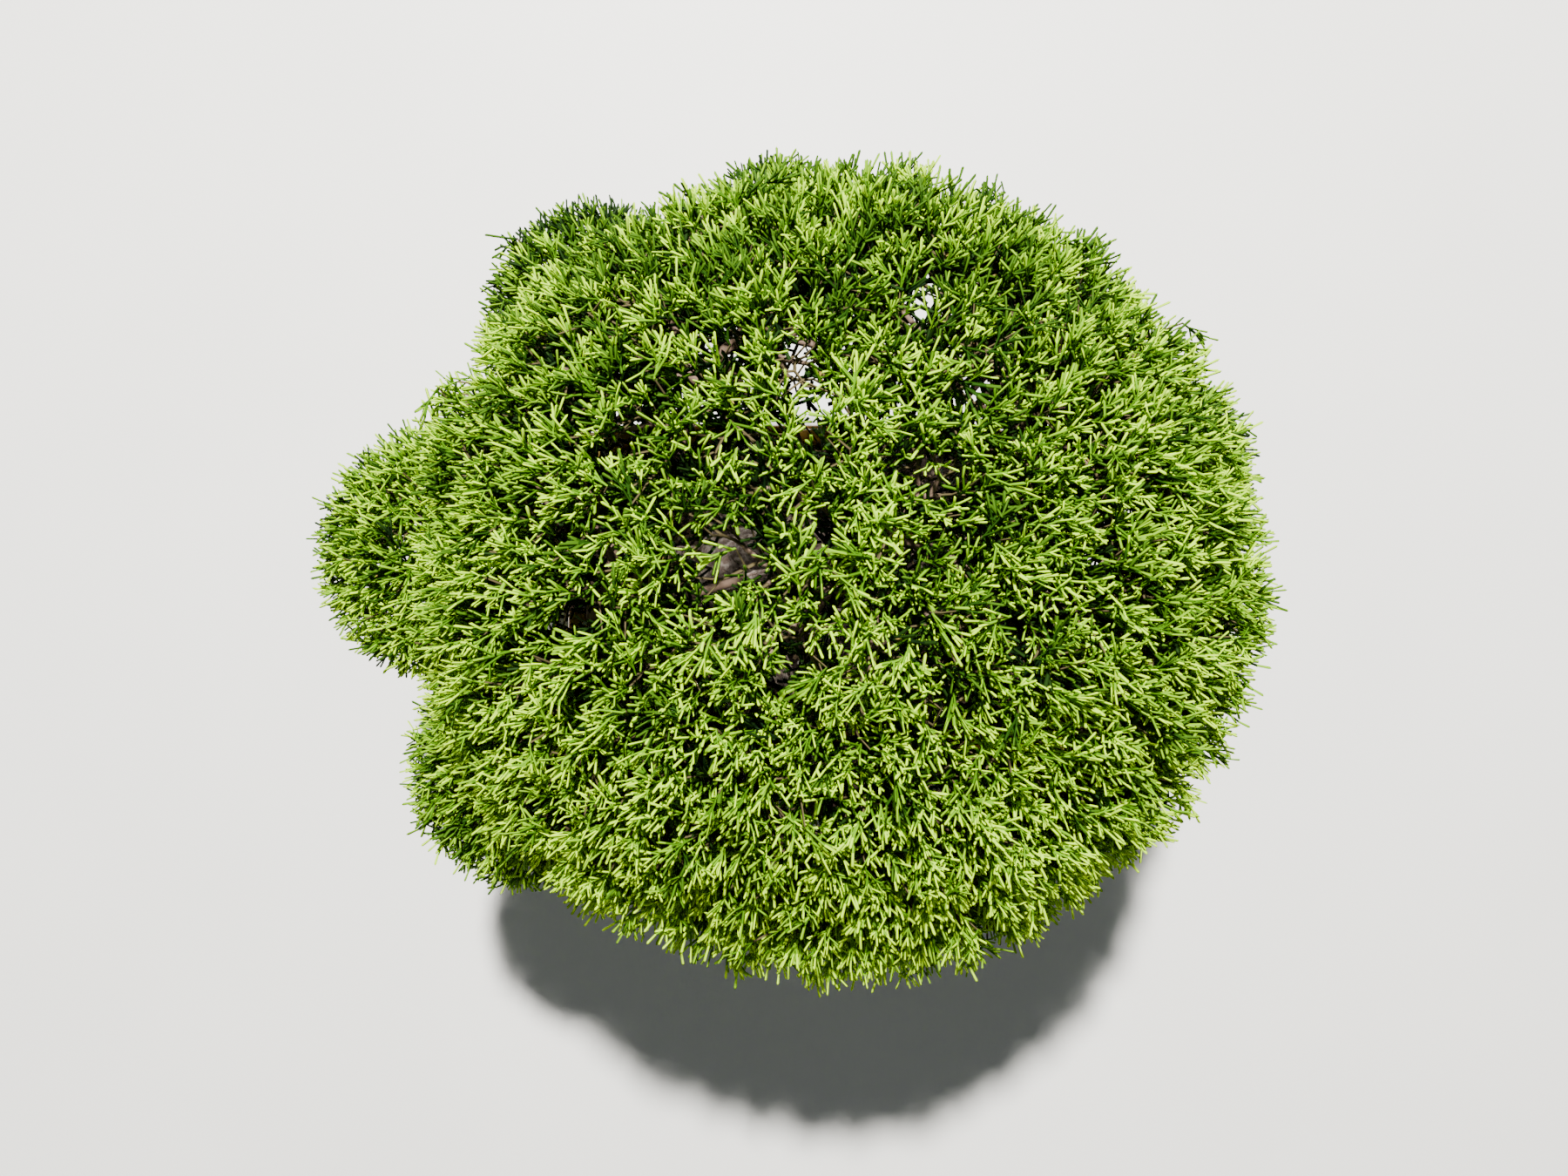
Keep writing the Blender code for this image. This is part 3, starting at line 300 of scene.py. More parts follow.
# Layers of sprays on the dome: (share of its radius, spacing at its rim and at its top, whether
# they are fine, how the kinds are dealt).
# The deeper layers are dealt mostly the painted shade kinds, deep and inner.
DOME_LAYERS = (
    (0.992, 0.0063, 0.0053, True, (0.49, 0.33, 0.18, 0.00)),
    (0.925, 0.0098, 0.0088, False, (0.00, 0.10, 0.46, 0.44)),
    (0.835, 0.0104, 0.0104, False, (0.00, 0.00, 0.15, 0.85)),
    (0.700, 0.0150, 0.0145, False, (0.00, 0.00, 0.00, 1.00)),
)
LOBE_LAYERS = (
    (0.94, 0.0065, True),
    (0.84, 0.0086, False),
    (0.64, 0.0112, False),
)
# The lobes are dealt more of the painted shade kinds, for the shade that falls on the lower lobes;
# the left lobe is dealt more of the painted sunlight.
LOBE_KINDS = (0.14, 0.38, 0.42, 0.06)
LEFT_LOBE_KINDS = (0.30, 0.40, 0.28, 0.02)
LOBE_COVER = 0.75               # share of a whole ball that a layer on a lobe is counted for
LOBE_DEPTH = 0.86               # sprays of a lobe deeper in the dome than this are left out
UNDER_SHARE = 0.20              # the underside has sprays from this share of the radius outwards
UNDER_SPACING = 0.0115
# The underside is dealt mostly the painted shade kinds.
UNDER_KINDS = (0.00, 0.12, 0.46, 0.42)
UNDER_JITTER = 0.3
UNDER_REACH = 0.95
UNDER_DROP = (0.012, 0.036, 0.004)  # in the middle, more towards the rim, and spread
UNDER_SLOPE = 0.7
# The deal paints light and shade: the slow noise spreads patches of painted sunlight and painted
# shade, and DEAL_SLOPE gives the front more painted sunlight.
DEAL_GRAIN = 30.0               # waves to a metre of the slow noise that shifts the deal
DEAL_SHIFT = 0.28
DEAL_SLOPE = 2.0                # how much more of the sunny kinds is dealt to the front, to a metre
SPRAY_JITTER = 0.40             # over the spacing
DEPTH_JITTER = 0.022
CLUMP_SPACING = 0.0240          # the sprays stand in clumps with creases between them
CLUMP_JITTER = 0.3
CLUMP_DEPTH = 0.74
CLUMP_RELIEF = 0.040            # how much lower than the others a clump may lie
CREASE = 0.085
CREASE_WIDTH = 0.0052
CLUMP_PULL = 0.80

# The parts of a spray. Lengths are over its own length, widths over the radius of a shoot, and
# leans are degrees off the way of the part before.
AXIS_SHARE = 0.55
AXIS_RINGS = ((0.0, 0.8), (1.0, 0.9))       # (place along, width)
AXIS_SWAY = 0.16
SIDE_AXES = 4
SIDE_AXIS_SHARE = 0.32
SIDE_STARTS = (0.10, 0.75)      # the first side axis on the axis, and from it to the last one
SIDE_LEAN = (18, 54)
SIDE_TURN = 0.3                 # spread of the turn from one side axis to the next, in radians
SIDE_TAPER = (1.25, 0.5)        # longer at the spray's foot, shorter towards its top
SIDE_VARIETY = (0.85, 1.15)
SIDE_BEND = 0.12
TOP_SHOOTS = 2
TOP_LEAN = (6, 42)
SIDE_SHOOTS = 6                 # one at the end of each side axis, the others along them
END_LEAN = (0, 20)
ALONG_STARTS = (0.35, 0.85)
ALONG_LEAN = (32, 58)
SHOOT_SHARES = (0.17, 0.35)
SHOOT_RINGS = ((0.0, 0.85), (0.88, 1.0))
SHOOT_BEND = (0.14, 0.25)       # towards the axis, and to either side
STEM_SIDES = 3
OLDER_SHADED, YOUNG, DRY = 0, 1, 2     # marks on the faces
FINE_SHAPES = 12
COARSE_SHAPES = 6
UNDER_ONE = 0.9999              # most that a random share is, so that it picks a shape
SIZE_VARIETY = 0.20
COARSE_SIZE = 1.22              # size of the sprays below the surface
COARSE_SHOOT = 1.15             # thickness of their shoots
DRY_SHARE = 0.008               # share of the shoots that are dry
# The older parts' colour is darker partly for older growth and partly as painted shade at the
# spray's foot and on some shoots.
OLDER_SHADED_PARTS = (0.28, 0.40, 0.50)    # colour of the axes and of some shoots, over the kind's own
OLDER_SHINE = (0.65, 0.04)      # roughness and specular level
YOUNG_SHINE = (0.60, 0.05)
DRY_SHINE = (0.8, 0.3)

# Twigs
TWIG_GROWTH = 0.37
FORK_SHARE = 0.36
SIDE_FORK = 0.80
FORK_THICKER = 1.15             # a twig starts thicker than it ends
TWIG_STEPS = ((3, 1), (8, 2), (math.inf, 4))   # (below how many sprays, steps of a twig)
TWIG_BEND = 0.35
TWIG_SWAY = 0.05
STEM_STEPS = 6
STEM_FORKS = (4, 6)             # the points of the stem at which it forks
YOUNG_TWIG = 0.00078            # a thinner twig has the young bark
BRANCH_SIDES = 5
TWIG_SIDES = 3
TWIG_BARKS = {                  # colour, roughness and specular level
    "twig_bark": ((0.135, 0.088, 0.060), 0.9, 0.3),
    "young_twig_bark": ((0.070, 0.055, 0.022), 0.85, 0.2),
}


# Settings that a user would change

def colour_setting(name, description, default):
    return FloatVectorProperty(name=name, description=description, default=default,
                               subtype="COLOR", min=0, max=1)


def length_setting(name, description, default, least, most):
    return FloatProperty(name=name, description=description, default=default,
                         unit="LENGTH", min=least, max=most)


class PotSettings(PropertyGroup):
    """Glaze, clay and smoothness of the pot"""
    glaze: colour_setting("Glaze", "Main colour of the glaze", (0.060, 0.080, 0.005))
    thin_glaze: colour_setting("Thin glaze", "Colour where the glaze runs thin on edges",
                               (0.27, 0.125, 0.018))
    clay: colour_setting("Clay", "Colour of the bare clay underneath", (0.30, 0.17, 0.10))
    corner_steps: IntProperty(name="Corner steps", description="Faces round each corner of the pot",
                              default=14, min=4, max=32)


class SoilSettings(PropertyGroup):
    """Grit and the fine soil under it"""
    grain: length_setting("Grain", "Size of a grain of grit", 0.0030, 0.001, 0.006)
    density: FloatProperty(name="Density", description="Grains on a square metre",
                           default=185000.0, min=10000.0, max=400000.0)
    colour: colour_setting("Soil", "Colour of the fine soil between the grains",
                           (0.085, 0.058, 0.042))


class WoodSettings(PropertyGroup):
    """Bark and twigs"""
    relief: length_setting("Relief", "Depth of the bark's furrows on the trunk", 0.0011, 0.0, 0.003)
    # The crest's pale colour is partly the flakes' own weathered grey and partly painted light, for
    # sun that reaches the bark. The furrow's dark colour is partly painted shade.
    crest: colour_setting("Crest", "Colour of the bark's flakes", (0.78, 0.66, 0.57))
    furrow: colour_setting("Furrow", "Colour deep in the bark", (0.100, 0.062, 0.044))
    twig: length_setting("Twig", "Radius of the finest twig", 0.00034, 0.0001, 0.001)


class FoliageSettings(PropertyGroup):
    """Size and colours of the sprays"""
    spray: length_setting("Spray", "Length of a spray", 0.0130, 0.005, 0.03)
    shoot: length_setting("Shoot", "Radius of a scale-leaf shoot", 0.00043, 0.0002, 0.0012)
    # The sun, fresh, deep and inner colours are one green in painted light and shade: sun is
    # painted sunlight, deep is painted half shade, inner is the painted shade inside the crown, and
    # fresh is the shoots' ordinary tone. A little of the spread is the shoots' own varied tone.
    sun: colour_setting("Sun", "Shoots in full sun", (0.38, 0.64, 0.001))
    fresh: colour_setting("Fresh", "Ordinary shoots", (0.15, 0.31, 0.001))
    deep: colour_setting("Deep", "Shoots in half shade", (0.034, 0.090, 0.003))
    inner: colour_setting("Inner", "Shoots inside the crown", (0.008, 0.024, 0.003))
    dry: colour_setting("Dry", "The few dry shoots", (0.24, 0.165, 0.030))


class StageSettings(PropertyGroup):
    """Floor, light and camera"""
    floor: colour_setting("Floor", "Colour of the floor", (0.74, 0.74, 0.715))
    key: FloatProperty(name="Key light", description="Power of the main lamp",
                       default=260.0, min=0, unit="POWER")
    over: FloatProperty(name="Overhead light", description="Power of the wide soft lamp overhead",
                        default=3.0, min=0, unit="POWER")
    fill: FloatProperty(name="Fill light", description="Strength of the even light all round",
                        default=0.08, min=0)
    height: FloatProperty(name="Camera height", description="Height of the camera over the floor",
                          default=0.545, min=0.3, unit="LENGTH")
    lens: FloatProperty(name="Lens", description="Focal length in millimetres",
                        default=27.04, min=10, unit="CAMERA")


# Meshes

def link_object(name, data):
    """Makes an object of the data and puts it into the scene."""
    thing = bpy.data.objects.new(name, data)
    bpy.context.scene.collection.objects.link(thing)
    return thing


def new_piece(name, vertices, faces, materials=(), smooth=True, edges=()):
    mesh = bpy.data.meshes.new(name)
    mesh.from_pydata([tuple(vertex) for vertex in vertices], edges, faces)
    for material in materials:
        mesh.materials.append(material)
    if smooth:
        mesh.shade_smooth()
    return link_object(name, mesh)


def settle(piece):
    """Turns what the modifiers make into a plain mesh and removes them."""
    bpy.context.view_layer.update()
    graph = bpy.context.evaluated_depsgraph_get()
    mesh = bpy.data.meshes.new_from_object(piece.evaluated_get(graph))
    piece.modifiers.clear()
    mesh.name = piece.name
    piece.data = mesh


def hand_over(piece, node):
    """Attaches a piece to the root body and hides the solid it stands for."""
    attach(piece, ROOT)
    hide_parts(node)


def store(mesh, name, kind, values, domain="POINT"):
    """Stores a value for every point or face under a name."""
    number = np.int32 if kind == "INT" else np.float32
    attribute = mesh.attributes.new(name, kind, domain)
    attribute.data.foreach_set("value", np.asarray(values, dtype=number).ravel())


def loft(rings):
    """Joins rings of equally many points, first to last, and closes both ends with a face."""
    count = len(rings[0])
    faces = [tuple(reversed(range(count)))]
    for low in range(0, (len(rings) - 1) * count, count):
        high = low + count
        for i in range(count):
            j = (i + 1) % count
            faces.append((low + i, low + j, high + j, high + i))
    last = (len(rings) - 1) * count
    faces.append(tuple(range(last, last + count)))
    return [point for ring in rings for point in ring], faces


def angles_round(count):
    """Angles evenly spaced over a full turn."""
    return [FULL_TURN * k / count for k in range(count)]


def soft_bend(start, leave, arrive, end, t):
    """A point of the cubic curve from start to end that leave and arrive pull on."""
    u = 1 - t
    return start * u ** 3 + leave * 3 * u * u * t + arrive * 3 * u * t * t + end * t ** 3


def discard(collection):
    """Removes a collection of shapes that have been set in place."""
    for shape in list(collection.objects):
        bpy.data.objects.remove(shape, do_unlink=True)
    bpy.data.collections.remove(collection)


# Nodes

class Nodes:
    """Short ways to add nodes to a tree."""

    def __init__(self, tree):
        self.tree = tree

    def fill(self, node, inputs):
        """Sets a node's inputs, each to a value or to the socket that it comes from."""
        for name, value in inputs.items():
            if isinstance(value, NodeSocket):
                self.tree.links.new(value, node.inputs[name])
            else:
                node.inputs[name].default_value = value

    def add(self, kind, inputs=None, result=0, **settings):
        """Adds a node and gives one of its outputs, the first if none is named."""
        node = self.tree.nodes.new(kind)
        for name, value in settings.items():
            setattr(node, name, value)
        self.fill(node, inputs or {})
        return node.outputs[result]

    def calculate(self, operation, *values):
        return self.add("ShaderNodeMath", dict(enumerate(values)), operation=operation)


class Group(Nodes):
    """A node group with named inputs and one output."""

    def __init__(self, name, inputs, kind="GeometryNodeTree", output="Geometry"):
        super().__init__(bpy.data.node_groups.new(name, kind))
        for label, socket in inputs.items():
            self.tree.interface.new_socket(label, in_out="INPUT", socket_type="NodeSocket" + socket)
        self.tree.interface.new_socket("Result", in_out="OUTPUT", socket_type="NodeSocket" + output)
        self.start = self.tree.nodes.new("NodeGroupInput")
        self.end = self.tree.nodes.new("NodeGroupOutput")

    def given(self, name):
        return self.start.outputs[name]

    def named(self, name, kind):
        return self.add("GeometryNodeInputNamedAttribute", {"Name": name}, "Attribute",
                        data_type=kind)

    def random(self, low, high, seed, kind="FLOAT"):
        """A random value for every point, with the sockets that the kind of value uses."""
        sockets = {"FLOAT_VECTOR": (0, 1, 0), "FLOAT": (2, 3, 1), "INT": (4, 5, 2)}
        first, second, result = sockets[kind]
        return self.add("FunctionNodeRandomValue", {first: low, second: high, "Seed": seed},
                        result, data_type=kind)

    def compare(self, first, test, second, kind="FLOAT"):
        """True where the first value passes the test against the second."""
        low, high = (2, 3) if kind == "INT" else (0, 1)
        return self.add("FunctionNodeCompare", {low: first, high: second},
                        data_type=kind, operation=test)

    def place_shapes(self, points, shapes, pick, rotation, scale):
        """Sets one shape of a collection on every point."""
        parts = self.add("GeometryNodeCollectionInfo", {
            "Collection": shapes, "Separate Children": True, "Reset Children": True,
        })
        return self.add("GeometryNodeInstanceOnPoints", {
            "Points": points, "Instance": parts, "Pick Instance": True,
            "Instance Index": pick, "Rotation": rotation, "Scale": scale,
        })

    def realize(self, geometry):
        return self.add("GeometryNodeRealizeInstances", {"Geometry": geometry})

    def coat(self, geometry, material, chosen=True):
        """Sets a material on the faces that are chosen."""
        return self.add("GeometryNodeSetMaterial", {
            "Geometry": geometry, "Selection": chosen, "Material": material,
        })

    def finish(self, result):
        self.tree.links.new(result, self.end.inputs["Result"])
        return self.tree


def run_tree(piece, tree, values):
    """Runs a group on a piece with these inputs, and leaves a plain mesh."""
    modifier = piece.modifiers.new("rule", "NODES")
    modifier.node_group = tree
    for item in tree.interface.items_tree:
        if item.item_type == "SOCKET" and item.in_out == "INPUT" and item.name in values:
            modifier[item.identifier] = values[item.name]
    settle(piece)


# Materials

def grain_group():
    """The group that every grain shares: noise, spread from 0 to 1 between two levels."""
    known = bpy.data.node_groups.get("grain")
    if known:
        return known
    tree = Group("grain", {
        "Vector": "Vector", "Scale": "Float", "Detail": "Float", "From": "Float", "To": "Float",
    }, "ShaderNodeTree", "Float")
    texture = tree.add("ShaderNodeTexNoise", {
        name: tree.given(name) for name in ("Vector", "Scale", "Detail")
    })
    spread = tree.add("ShaderNodeMapRange", {
        "Value": texture, "From Min": tree.given("From"), "From Max": tree.given("To"),
    })
    return tree.finish(spread)


def shade(colour, share):
    """A darker or lighter shade of a colour."""
    return tuple(share * value for value in colour)


class Look(Nodes):
    """A material, and short ways to add nodes to it."""

    def __init__(self, name):
        self.material = bpy.data.materials.new(name)
        self.material.use_nodes = True
        super().__init__(self.material.node_tree)

    def coordinates(self, kind="Object"):
        return self.add("ShaderNodeTexCoord", result=kind)

    def attribute(self, name):
        return self.add("ShaderNodeAttribute", result="Fac", attribute_name=name)

    def grain(self, place, scale, detail=4.0, low=0.35, high=0.65):
        """Noise as a mask: how strongly a coarse or fine grain shows at each spot."""
        inputs = {"Vector": place, "Scale": scale, "Detail": detail, "From": low, "To": high}
        return self.add("ShaderNodeGroup", inputs, node_tree=grain_group())

    def spread(self, mask, low, high):
        """Spreads a mask from 0 to 1 over low to high."""
        return self.add("ShaderNodeMapRange", {"Value": mask, "To Min": low, "To Max": high})

    def blend(self, mask, first, second):
        """Mixes two colours, each a colour or a socket."""
        inputs = {0: mask}
        for socket, colour in ((6, first), (7, second)):
            inputs[socket] = colour if isinstance(colour, NodeSocket) else (*colour, 1.0)
        return self.add("ShaderNodeMix", inputs, 2, data_type="RGBA")

    def bump(self, height, distance, strength):
        inputs = {"Height": height, "Distance": distance, "Strength": strength}
        return self.add("ShaderNodeBump", inputs)

    def finish(self, inputs):
        """Sets the inputs of the material's shader."""
        self.fill(self.tree.nodes["Principled BSDF"], inputs)
        return self.material


def plain_material(name, colour, roughness, specular):
    look = Look(name)
    look.material.diffuse_color = (*colour, 1.0)
    return look.finish({
        "Base Color": (*colour, 1.0), "Roughness": roughness, "Specular IOR Level": specular,
    })


def glaze_material(pot):
    """Glossy olive glaze that breaks to amber on the edges, with darker specks."""
    look = Look("olive_glaze")
    place = look.coordinates()
    cloud = look.grain(place, scale=38.0, detail=3.0, low=0.30, high=0.72)
    speck = look.grain(place, scale=900.0, detail=2.0, low=0.62, high=0.70)
    ripple = look.grain(place, scale=260.0, detail=2.0, low=0.2, high=0.8)
    olive, amber = tuple(pot.glaze), tuple(pot.thin_glaze)
    warm = tuple(0.6 * o + 0.4 * a for o, a in zip(olive, amber))
    body = look.blend(cloud, shade(olive, 0.55), warm)
    dark = (0.02, 0.018, 0.008)
    body = look.blend(look.spread(speck, 0.0, 0.55), body, dark)
    ragged = look.calculate("MULTIPLY", look.attribute("edge"), look.spread(cloud, 0.55, 1.0))
    return look.finish({
        "Base Color": look.blend(ragged, body, amber),
        "Roughness": look.spread(cloud, 0.14, 0.28),
        "Specular IOR Level": 0.20,
        "Coat Weight": 0.12,
        "Coat Roughness": 0.06,
        "Normal": look.bump(ripple, 0.0002, 0.35),
    })


def clay_material(pot):
    """Bare fired clay, slightly gritty."""
    look = Look("fired_clay")
    place = look.coordinates()
    clay = tuple(pot.clay)
    grit = look.grain(place, scale=1100.0, detail=3.0)
    stain = look.grain(place, scale=60.0)
    colour = look.blend(grit, shade(clay, 0.72), clay)
    return look.finish({
        "Base Color": look.blend(look.spread(stain, 0.0, 0.4), colour, shade(clay, 0.5)),
        "Roughness": look.spread(grit, 0.82, 0.95),
        "Normal": look.bump(grit, 0.0003, 0.5),
    })


def bark_material(wood):
    """Fibrous bark: dark in the furrows and in the low spots of the lumps, partly its own colour
    and partly painted shade, pale grey-brown with a pink cast on the flakes.
    """
    look = Look("juniper_bark")
    along = look.coordinates("UV")
    stretched = look.add("ShaderNodeMapping", {"Vector": along, "Scale": (1.0, 0.12, 1.0)})
    fibre = look.grain(stretched, scale=900.0, detail=5.0, low=0.3, high=0.7)
    patch = look.grain(along, scale=70.0, detail=3.0, low=0.38, high=0.62)
    lump = look.grain(along, scale=420.0, low=0.40, high=0.58)
    crest, furrow = tuple(wood.crest), tuple(wood.furrow)
    grey = tuple(0.5 * value + 0.10 for value in crest)
    flakes = look.blend(patch, crest, grey)
    flakes = look.blend(look.spread(fibre, 0.45, 0.0), flakes, shade(furrow, 2.2))
    # Darker where the lumps are low, at the bump's dips: painted shade in the hollows, over the
    # lumps' own patches.
    flakes = look.blend(look.spread(lump, 0.75, 0.0), flakes, shade(furrow, 1.8))
    return look.finish({
        # The relief picks the furrow colour low down: partly the bark's own dark inner colour,
        # partly painted shade in the furrows.
        "Base Color": look.blend(look.attribute("relief"), furrow, flakes),
        "Roughness": look.spread(fibre, 0.95, 0.80),
        "Normal": look.bump(lump, 0.0006, 1.0),
    })


def soil_material(soil):
    """Dark damp fines between the grains."""
    look = Look("fine_soil")
    colour = tuple(soil.colour)
    crumbs = look.grain(look.coordinates(), scale=700.0, detail=5.0)
    return look.finish({
        "Base Color": look.blend(crumbs, shade(colour, 0.45), colour),
        "Roughness": 0.95,
        "Normal": look.bump(crumbs, 0.0006, 0.9),
    })


def floor_material(stage):
    """A plain pale floor with a hardly visible cloud."""
    look = Look("pale_floor")
    tone = tuple(stage.floor)
    cloud = look.grain(look.coordinates(), scale=9.0, detail=3.0)
    return look.finish({
        "Base Color": look.blend(cloud, shade(tone, 0.97), tone),
        "Roughness": 0.55,
    })


# Limbs, laid out as in the solids

class Limb(namedtuple("Limb", "name points radii")):
    """One tapering limb: the points of its axis and the radius at each."""

    def at(self, share):
        place = min(max(share, 0.0), 1.0) * (len(self.points) - 1)
        index = min(int(place), len(self.points) - 2)
        return self.points[index].lerp(self.points[index + 1], place - index)

    def share_at(self, height):
        for index, (low, high) in enumerate(zip(self.points, self.points[1:])):
            if low.z <= height <= high.z:
                part = (height - low.z) / (high.z - low.z)
                return (index + part) / (len(self.points) - 1)
        return 1.0


def trunk_height(share):
    return (TRUNK_TIP_HEIGHT - TRUNK_FOOT.z) * share


def trunk_point(share):
    aside = TRUNK_SWAY * math.sin(FULL_TURN * TRUNK_SWAY_TURNS * share)
    behind = TRUNK_SWAY * TRUNK_DEPTH_SHARE * math.sin(FULL_TURN * TRUNK_DEPTH_TURNS * share)
    return TRUNK_FOOT + Vector((
        TRUNK_LEAN * share ** TRUNK_LEAN_POWER - aside,
        TRUNK_DEPTH_LEAN * share + behind,
        trunk_height(share),
    ))


def trunk_radius(share):
    left = (1 - share) ** TRUNK_TAPER_POWER
    taper = TRUNK_TIP_RADIUS + (TRUNK_FOOT_RADIUS - TRUNK_TIP_RADIUS) * left
    return taper + FLARE * math.exp(-trunk_height(share) / FLARE_FADE)


def trunk_ridge(share, angle):
    """How far root ridges and swellings push the trunk's surface out, over its radius."""
    roots = ROOT_RIDGE_DEPTH * math.cos(ROOT_RIDGES * angle + ROOT_RIDGE_TURN)
    bark = sum(depth * math.sin(waves * angle + turn * share) for depth, waves, turn in BARK_SWELLS)
    return 1 + roots * math.exp(-trunk_height(share) / ROOT_RIDGE_FADE) + bark * (1 - share)


def trunk_limb():
    shares = [(step / TRUNK_RINGS) ** TRUNK_RING_POWER for step in range(TRUNK_RINGS + 1)]
    points = [trunk_point(share) for share in shares]
    return Limb("trunk", points, [trunk_radius(share) for share in shares])


def bough_limb(name, parent, share, tip, heading, radius, tip_radius, rise):
    start = parent.at(share)
    outward = Vector((tip.x - start.x, tip.y - start.y, 0.0))
    length = (tip - start).length
    leave = start + outward.normalized() * length * BOUGH_LEAVE + Vector((0, 0, rise * length))
    arrive = tip - heading * length * BOUGH_ARRIVE
    aside = outward.cross(Vector((0, 0, 1))).normalized()
    points, radii = [], []
    for index in range(BOUGH_RINGS + 1):
        t = index / BOUGH_RINGS
        wave = aside * BOUGH_SWAY * length * math.sin(FULL_TURN * t) * math.sin(math.pi * t)
        points.append(soft_bend(start, leave, arrive, tip, t) + wave)
        radii.append(radius + (tip_radius - radius) * t ** BOUGH_TAPER)
    points[-2] = tip - heading * (tip - points[-2]).length
    return Limb(name, points, radii)


# The crown's masses, laid out as in the solids

class Mass:
    """One mass of foliage. The half width is that of a lobe, and None for a mass of the dome."""

    def __init__(self, ring, name, bearing, seat, lobe=None):
        self.ring = ring
        self.name = name
        self.bearing = bearing
        self.seat = seat
        self.lobe = lobe
        self.solid_tips = 0
        self.sprays = []
        self.stem = None


def direction_of(bearing, elevation):
    flat = math.cos(elevation)
    return Vector((math.cos(bearing) * flat, math.sin(bearing) * flat, math.sin(elevation)))


def crown_radius(bearing):
    swell = 1.0
    for count, share, crest in CROWN_WAVES:
        swell += share * math.cos(count * (bearing - math.radians(crest)))
    return CROWN_RADIUS * swell


def dome_rise(above):
    return CROWN_RISE if above else CROWN_DROP / math.sin(math.radians(-LOWEST_TIPS))


def dome_point(bearing, elevation, depth=1.0):
    flat = crown_radius(bearing) * math.cos(elevation) * depth
    return CROWN_CENTRE + Vector((
        flat * math.cos(bearing), flat * math.sin(bearing),
        dome_rise(elevation > 0) * math.sin(elevation) * depth,
    ))


def dome_depth(point):
    """1 on the dome's surface, less inside."""
    offset = point - CROWN_CENTRE
    flat = math.hypot(offset.x, offset.y) / crown_radius(math.atan2(offset.y, offset.x))
    return math.hypot(flat, offset.z / dome_rise(offset.z > 0))


def plan_masses():
    masses = []
    for ring, count, first, elevation in DOME_RINGS:
        for index in range(count):
            bearing = (first + 360.0 * index / count) % 360
            seat = dome_point(math.radians(bearing), math.radians(elevation), SEAT_SHARE)
            masses.append(Mass(ring, f"{ring}_{index + 1}" if count > 1 else ring, bearing, seat))
    for name, (bearing, reach, height, half_width) in LOWER_LOBES.items():
        seat = CROWN_CENTRE + direction_of(math.radians(bearing), 0.0) * (reach - half_width)
        seat.z = height
        masses.append(Mass("lobe", name, bearing, seat, half_width))
    return masses


def room(point, mass, masses):
    """How far a point lies inside its mass's own share of the crown."""
    least = 1.0
    for other in masses:
        if other is not mass:
            across = other.seat - mass.seat
            least = min(least, ((other.seat + mass.seat) / 2 - point).dot(across.normalized()))
    return least - SPACE_MARGIN


def even_directions(count):
    for index in range(count):
        yield GOLDEN_ANGLE * index, math.asin(1 - 2 * (index + 0.5) / count)


def dome_rows(spacing_below, spacing_on_top):
    """Evenly spaced spots in rings round the dome, from its top down, as (bearing, elevation)."""
    elevation = math.pi / 2
    row = 0
    while elevation > math.radians(LOWEST_TIPS):
        spacing = spacing_below + (spacing_on_top - spacing_below) * max(math.sin(elevation), 0.0)
        count = max(round(2 * math.pi * CROWN_RADIUS * math.cos(elevation) / spacing), 1)
        for index in range(count):
            yield FULL_TURN * (index + 0.5 * (row % 2)) / count + row * ROW_TURN, elevation
        rise = dome_rise(elevation > 0) * math.cos(elevation)
        elevation -= spacing * ROW_SHARE / math.hypot(CROWN_RADIUS * math.sin(elevation), rise)
        row += 1


def gap_room(start, end, gaps):
    """How far the straight stretch from start to end keeps off the gaps that fan out downwards."""
    flat = []
    for point in (start, end):
        offset = (point - GAP_APEX) * (GAP_APEX.z - GAP_LEVEL) / (GAP_APEX.z - point.z)
        flat.append(Vector((offset.x + GAP_APEX.x, offset.y + GAP_APEX.y)))
    along = flat[1] - flat[0]
    least = 1.0
    for x, y, radius in gaps:
        middle = Vector((x, y))
        share = (middle - flat[0]).dot(along) / max(along.length_squared, TINY)
        away = (middle - flat[0] - along * min(max(share, 0.0), 1.0)).length
        least = min(least, away - radius)
    return least


def lobe_place(mass, bearing, elevation, share=1.0):
    """A spot on a lobe, or None at its back and underside."""
    outward = direction_of(bearing, elevation)
    reach = Vector((outward.x, outward.y, outward.z * LOBE_FLATNESS)) * mass.lobe * share
    place = mass.seat + reach
    axis = Vector((CROWN_CENTRE.x, CROWN_CENTRE.y))
    behind = (mass.seat.xy - axis).length - (place.xy - axis).length
    if behind > LOBE_BACK * mass.lobe or outward.z < LOBE_UNDERSIDE:
        return None
    return place


def count_solid_tips(masses):
    """How many tips each mass has in the solids, which sets how thick its stem is."""
    dome = [mass for mass in masses if mass.lobe is None]
    for bearing, elevation in dome_rows(SOLID_SPACING, SOLID_TOP_SPACING):
        place = dome_point(bearing, elevation)
        owner = max(dome, key=lambda mass: room(place, mass, masses))
        if room(place, owner, masses) > TIP_ROOM and gap_room(place, place, SOLID_GAPS) > 0:
            owner.solid_tips += 1
    for mass in masses:
        if mass.lobe:
            for bearing, elevation in even_directions(SOLID_LOBE_TIPS):
                place = lobe_place(mass, bearing, elevation)
                if place and room(place, mass, masses) > TIP_ROOM:
                    mass.solid_tips += 1


def near_bearing(first, second):
    return abs((first - second + 180) % 360 - 180)


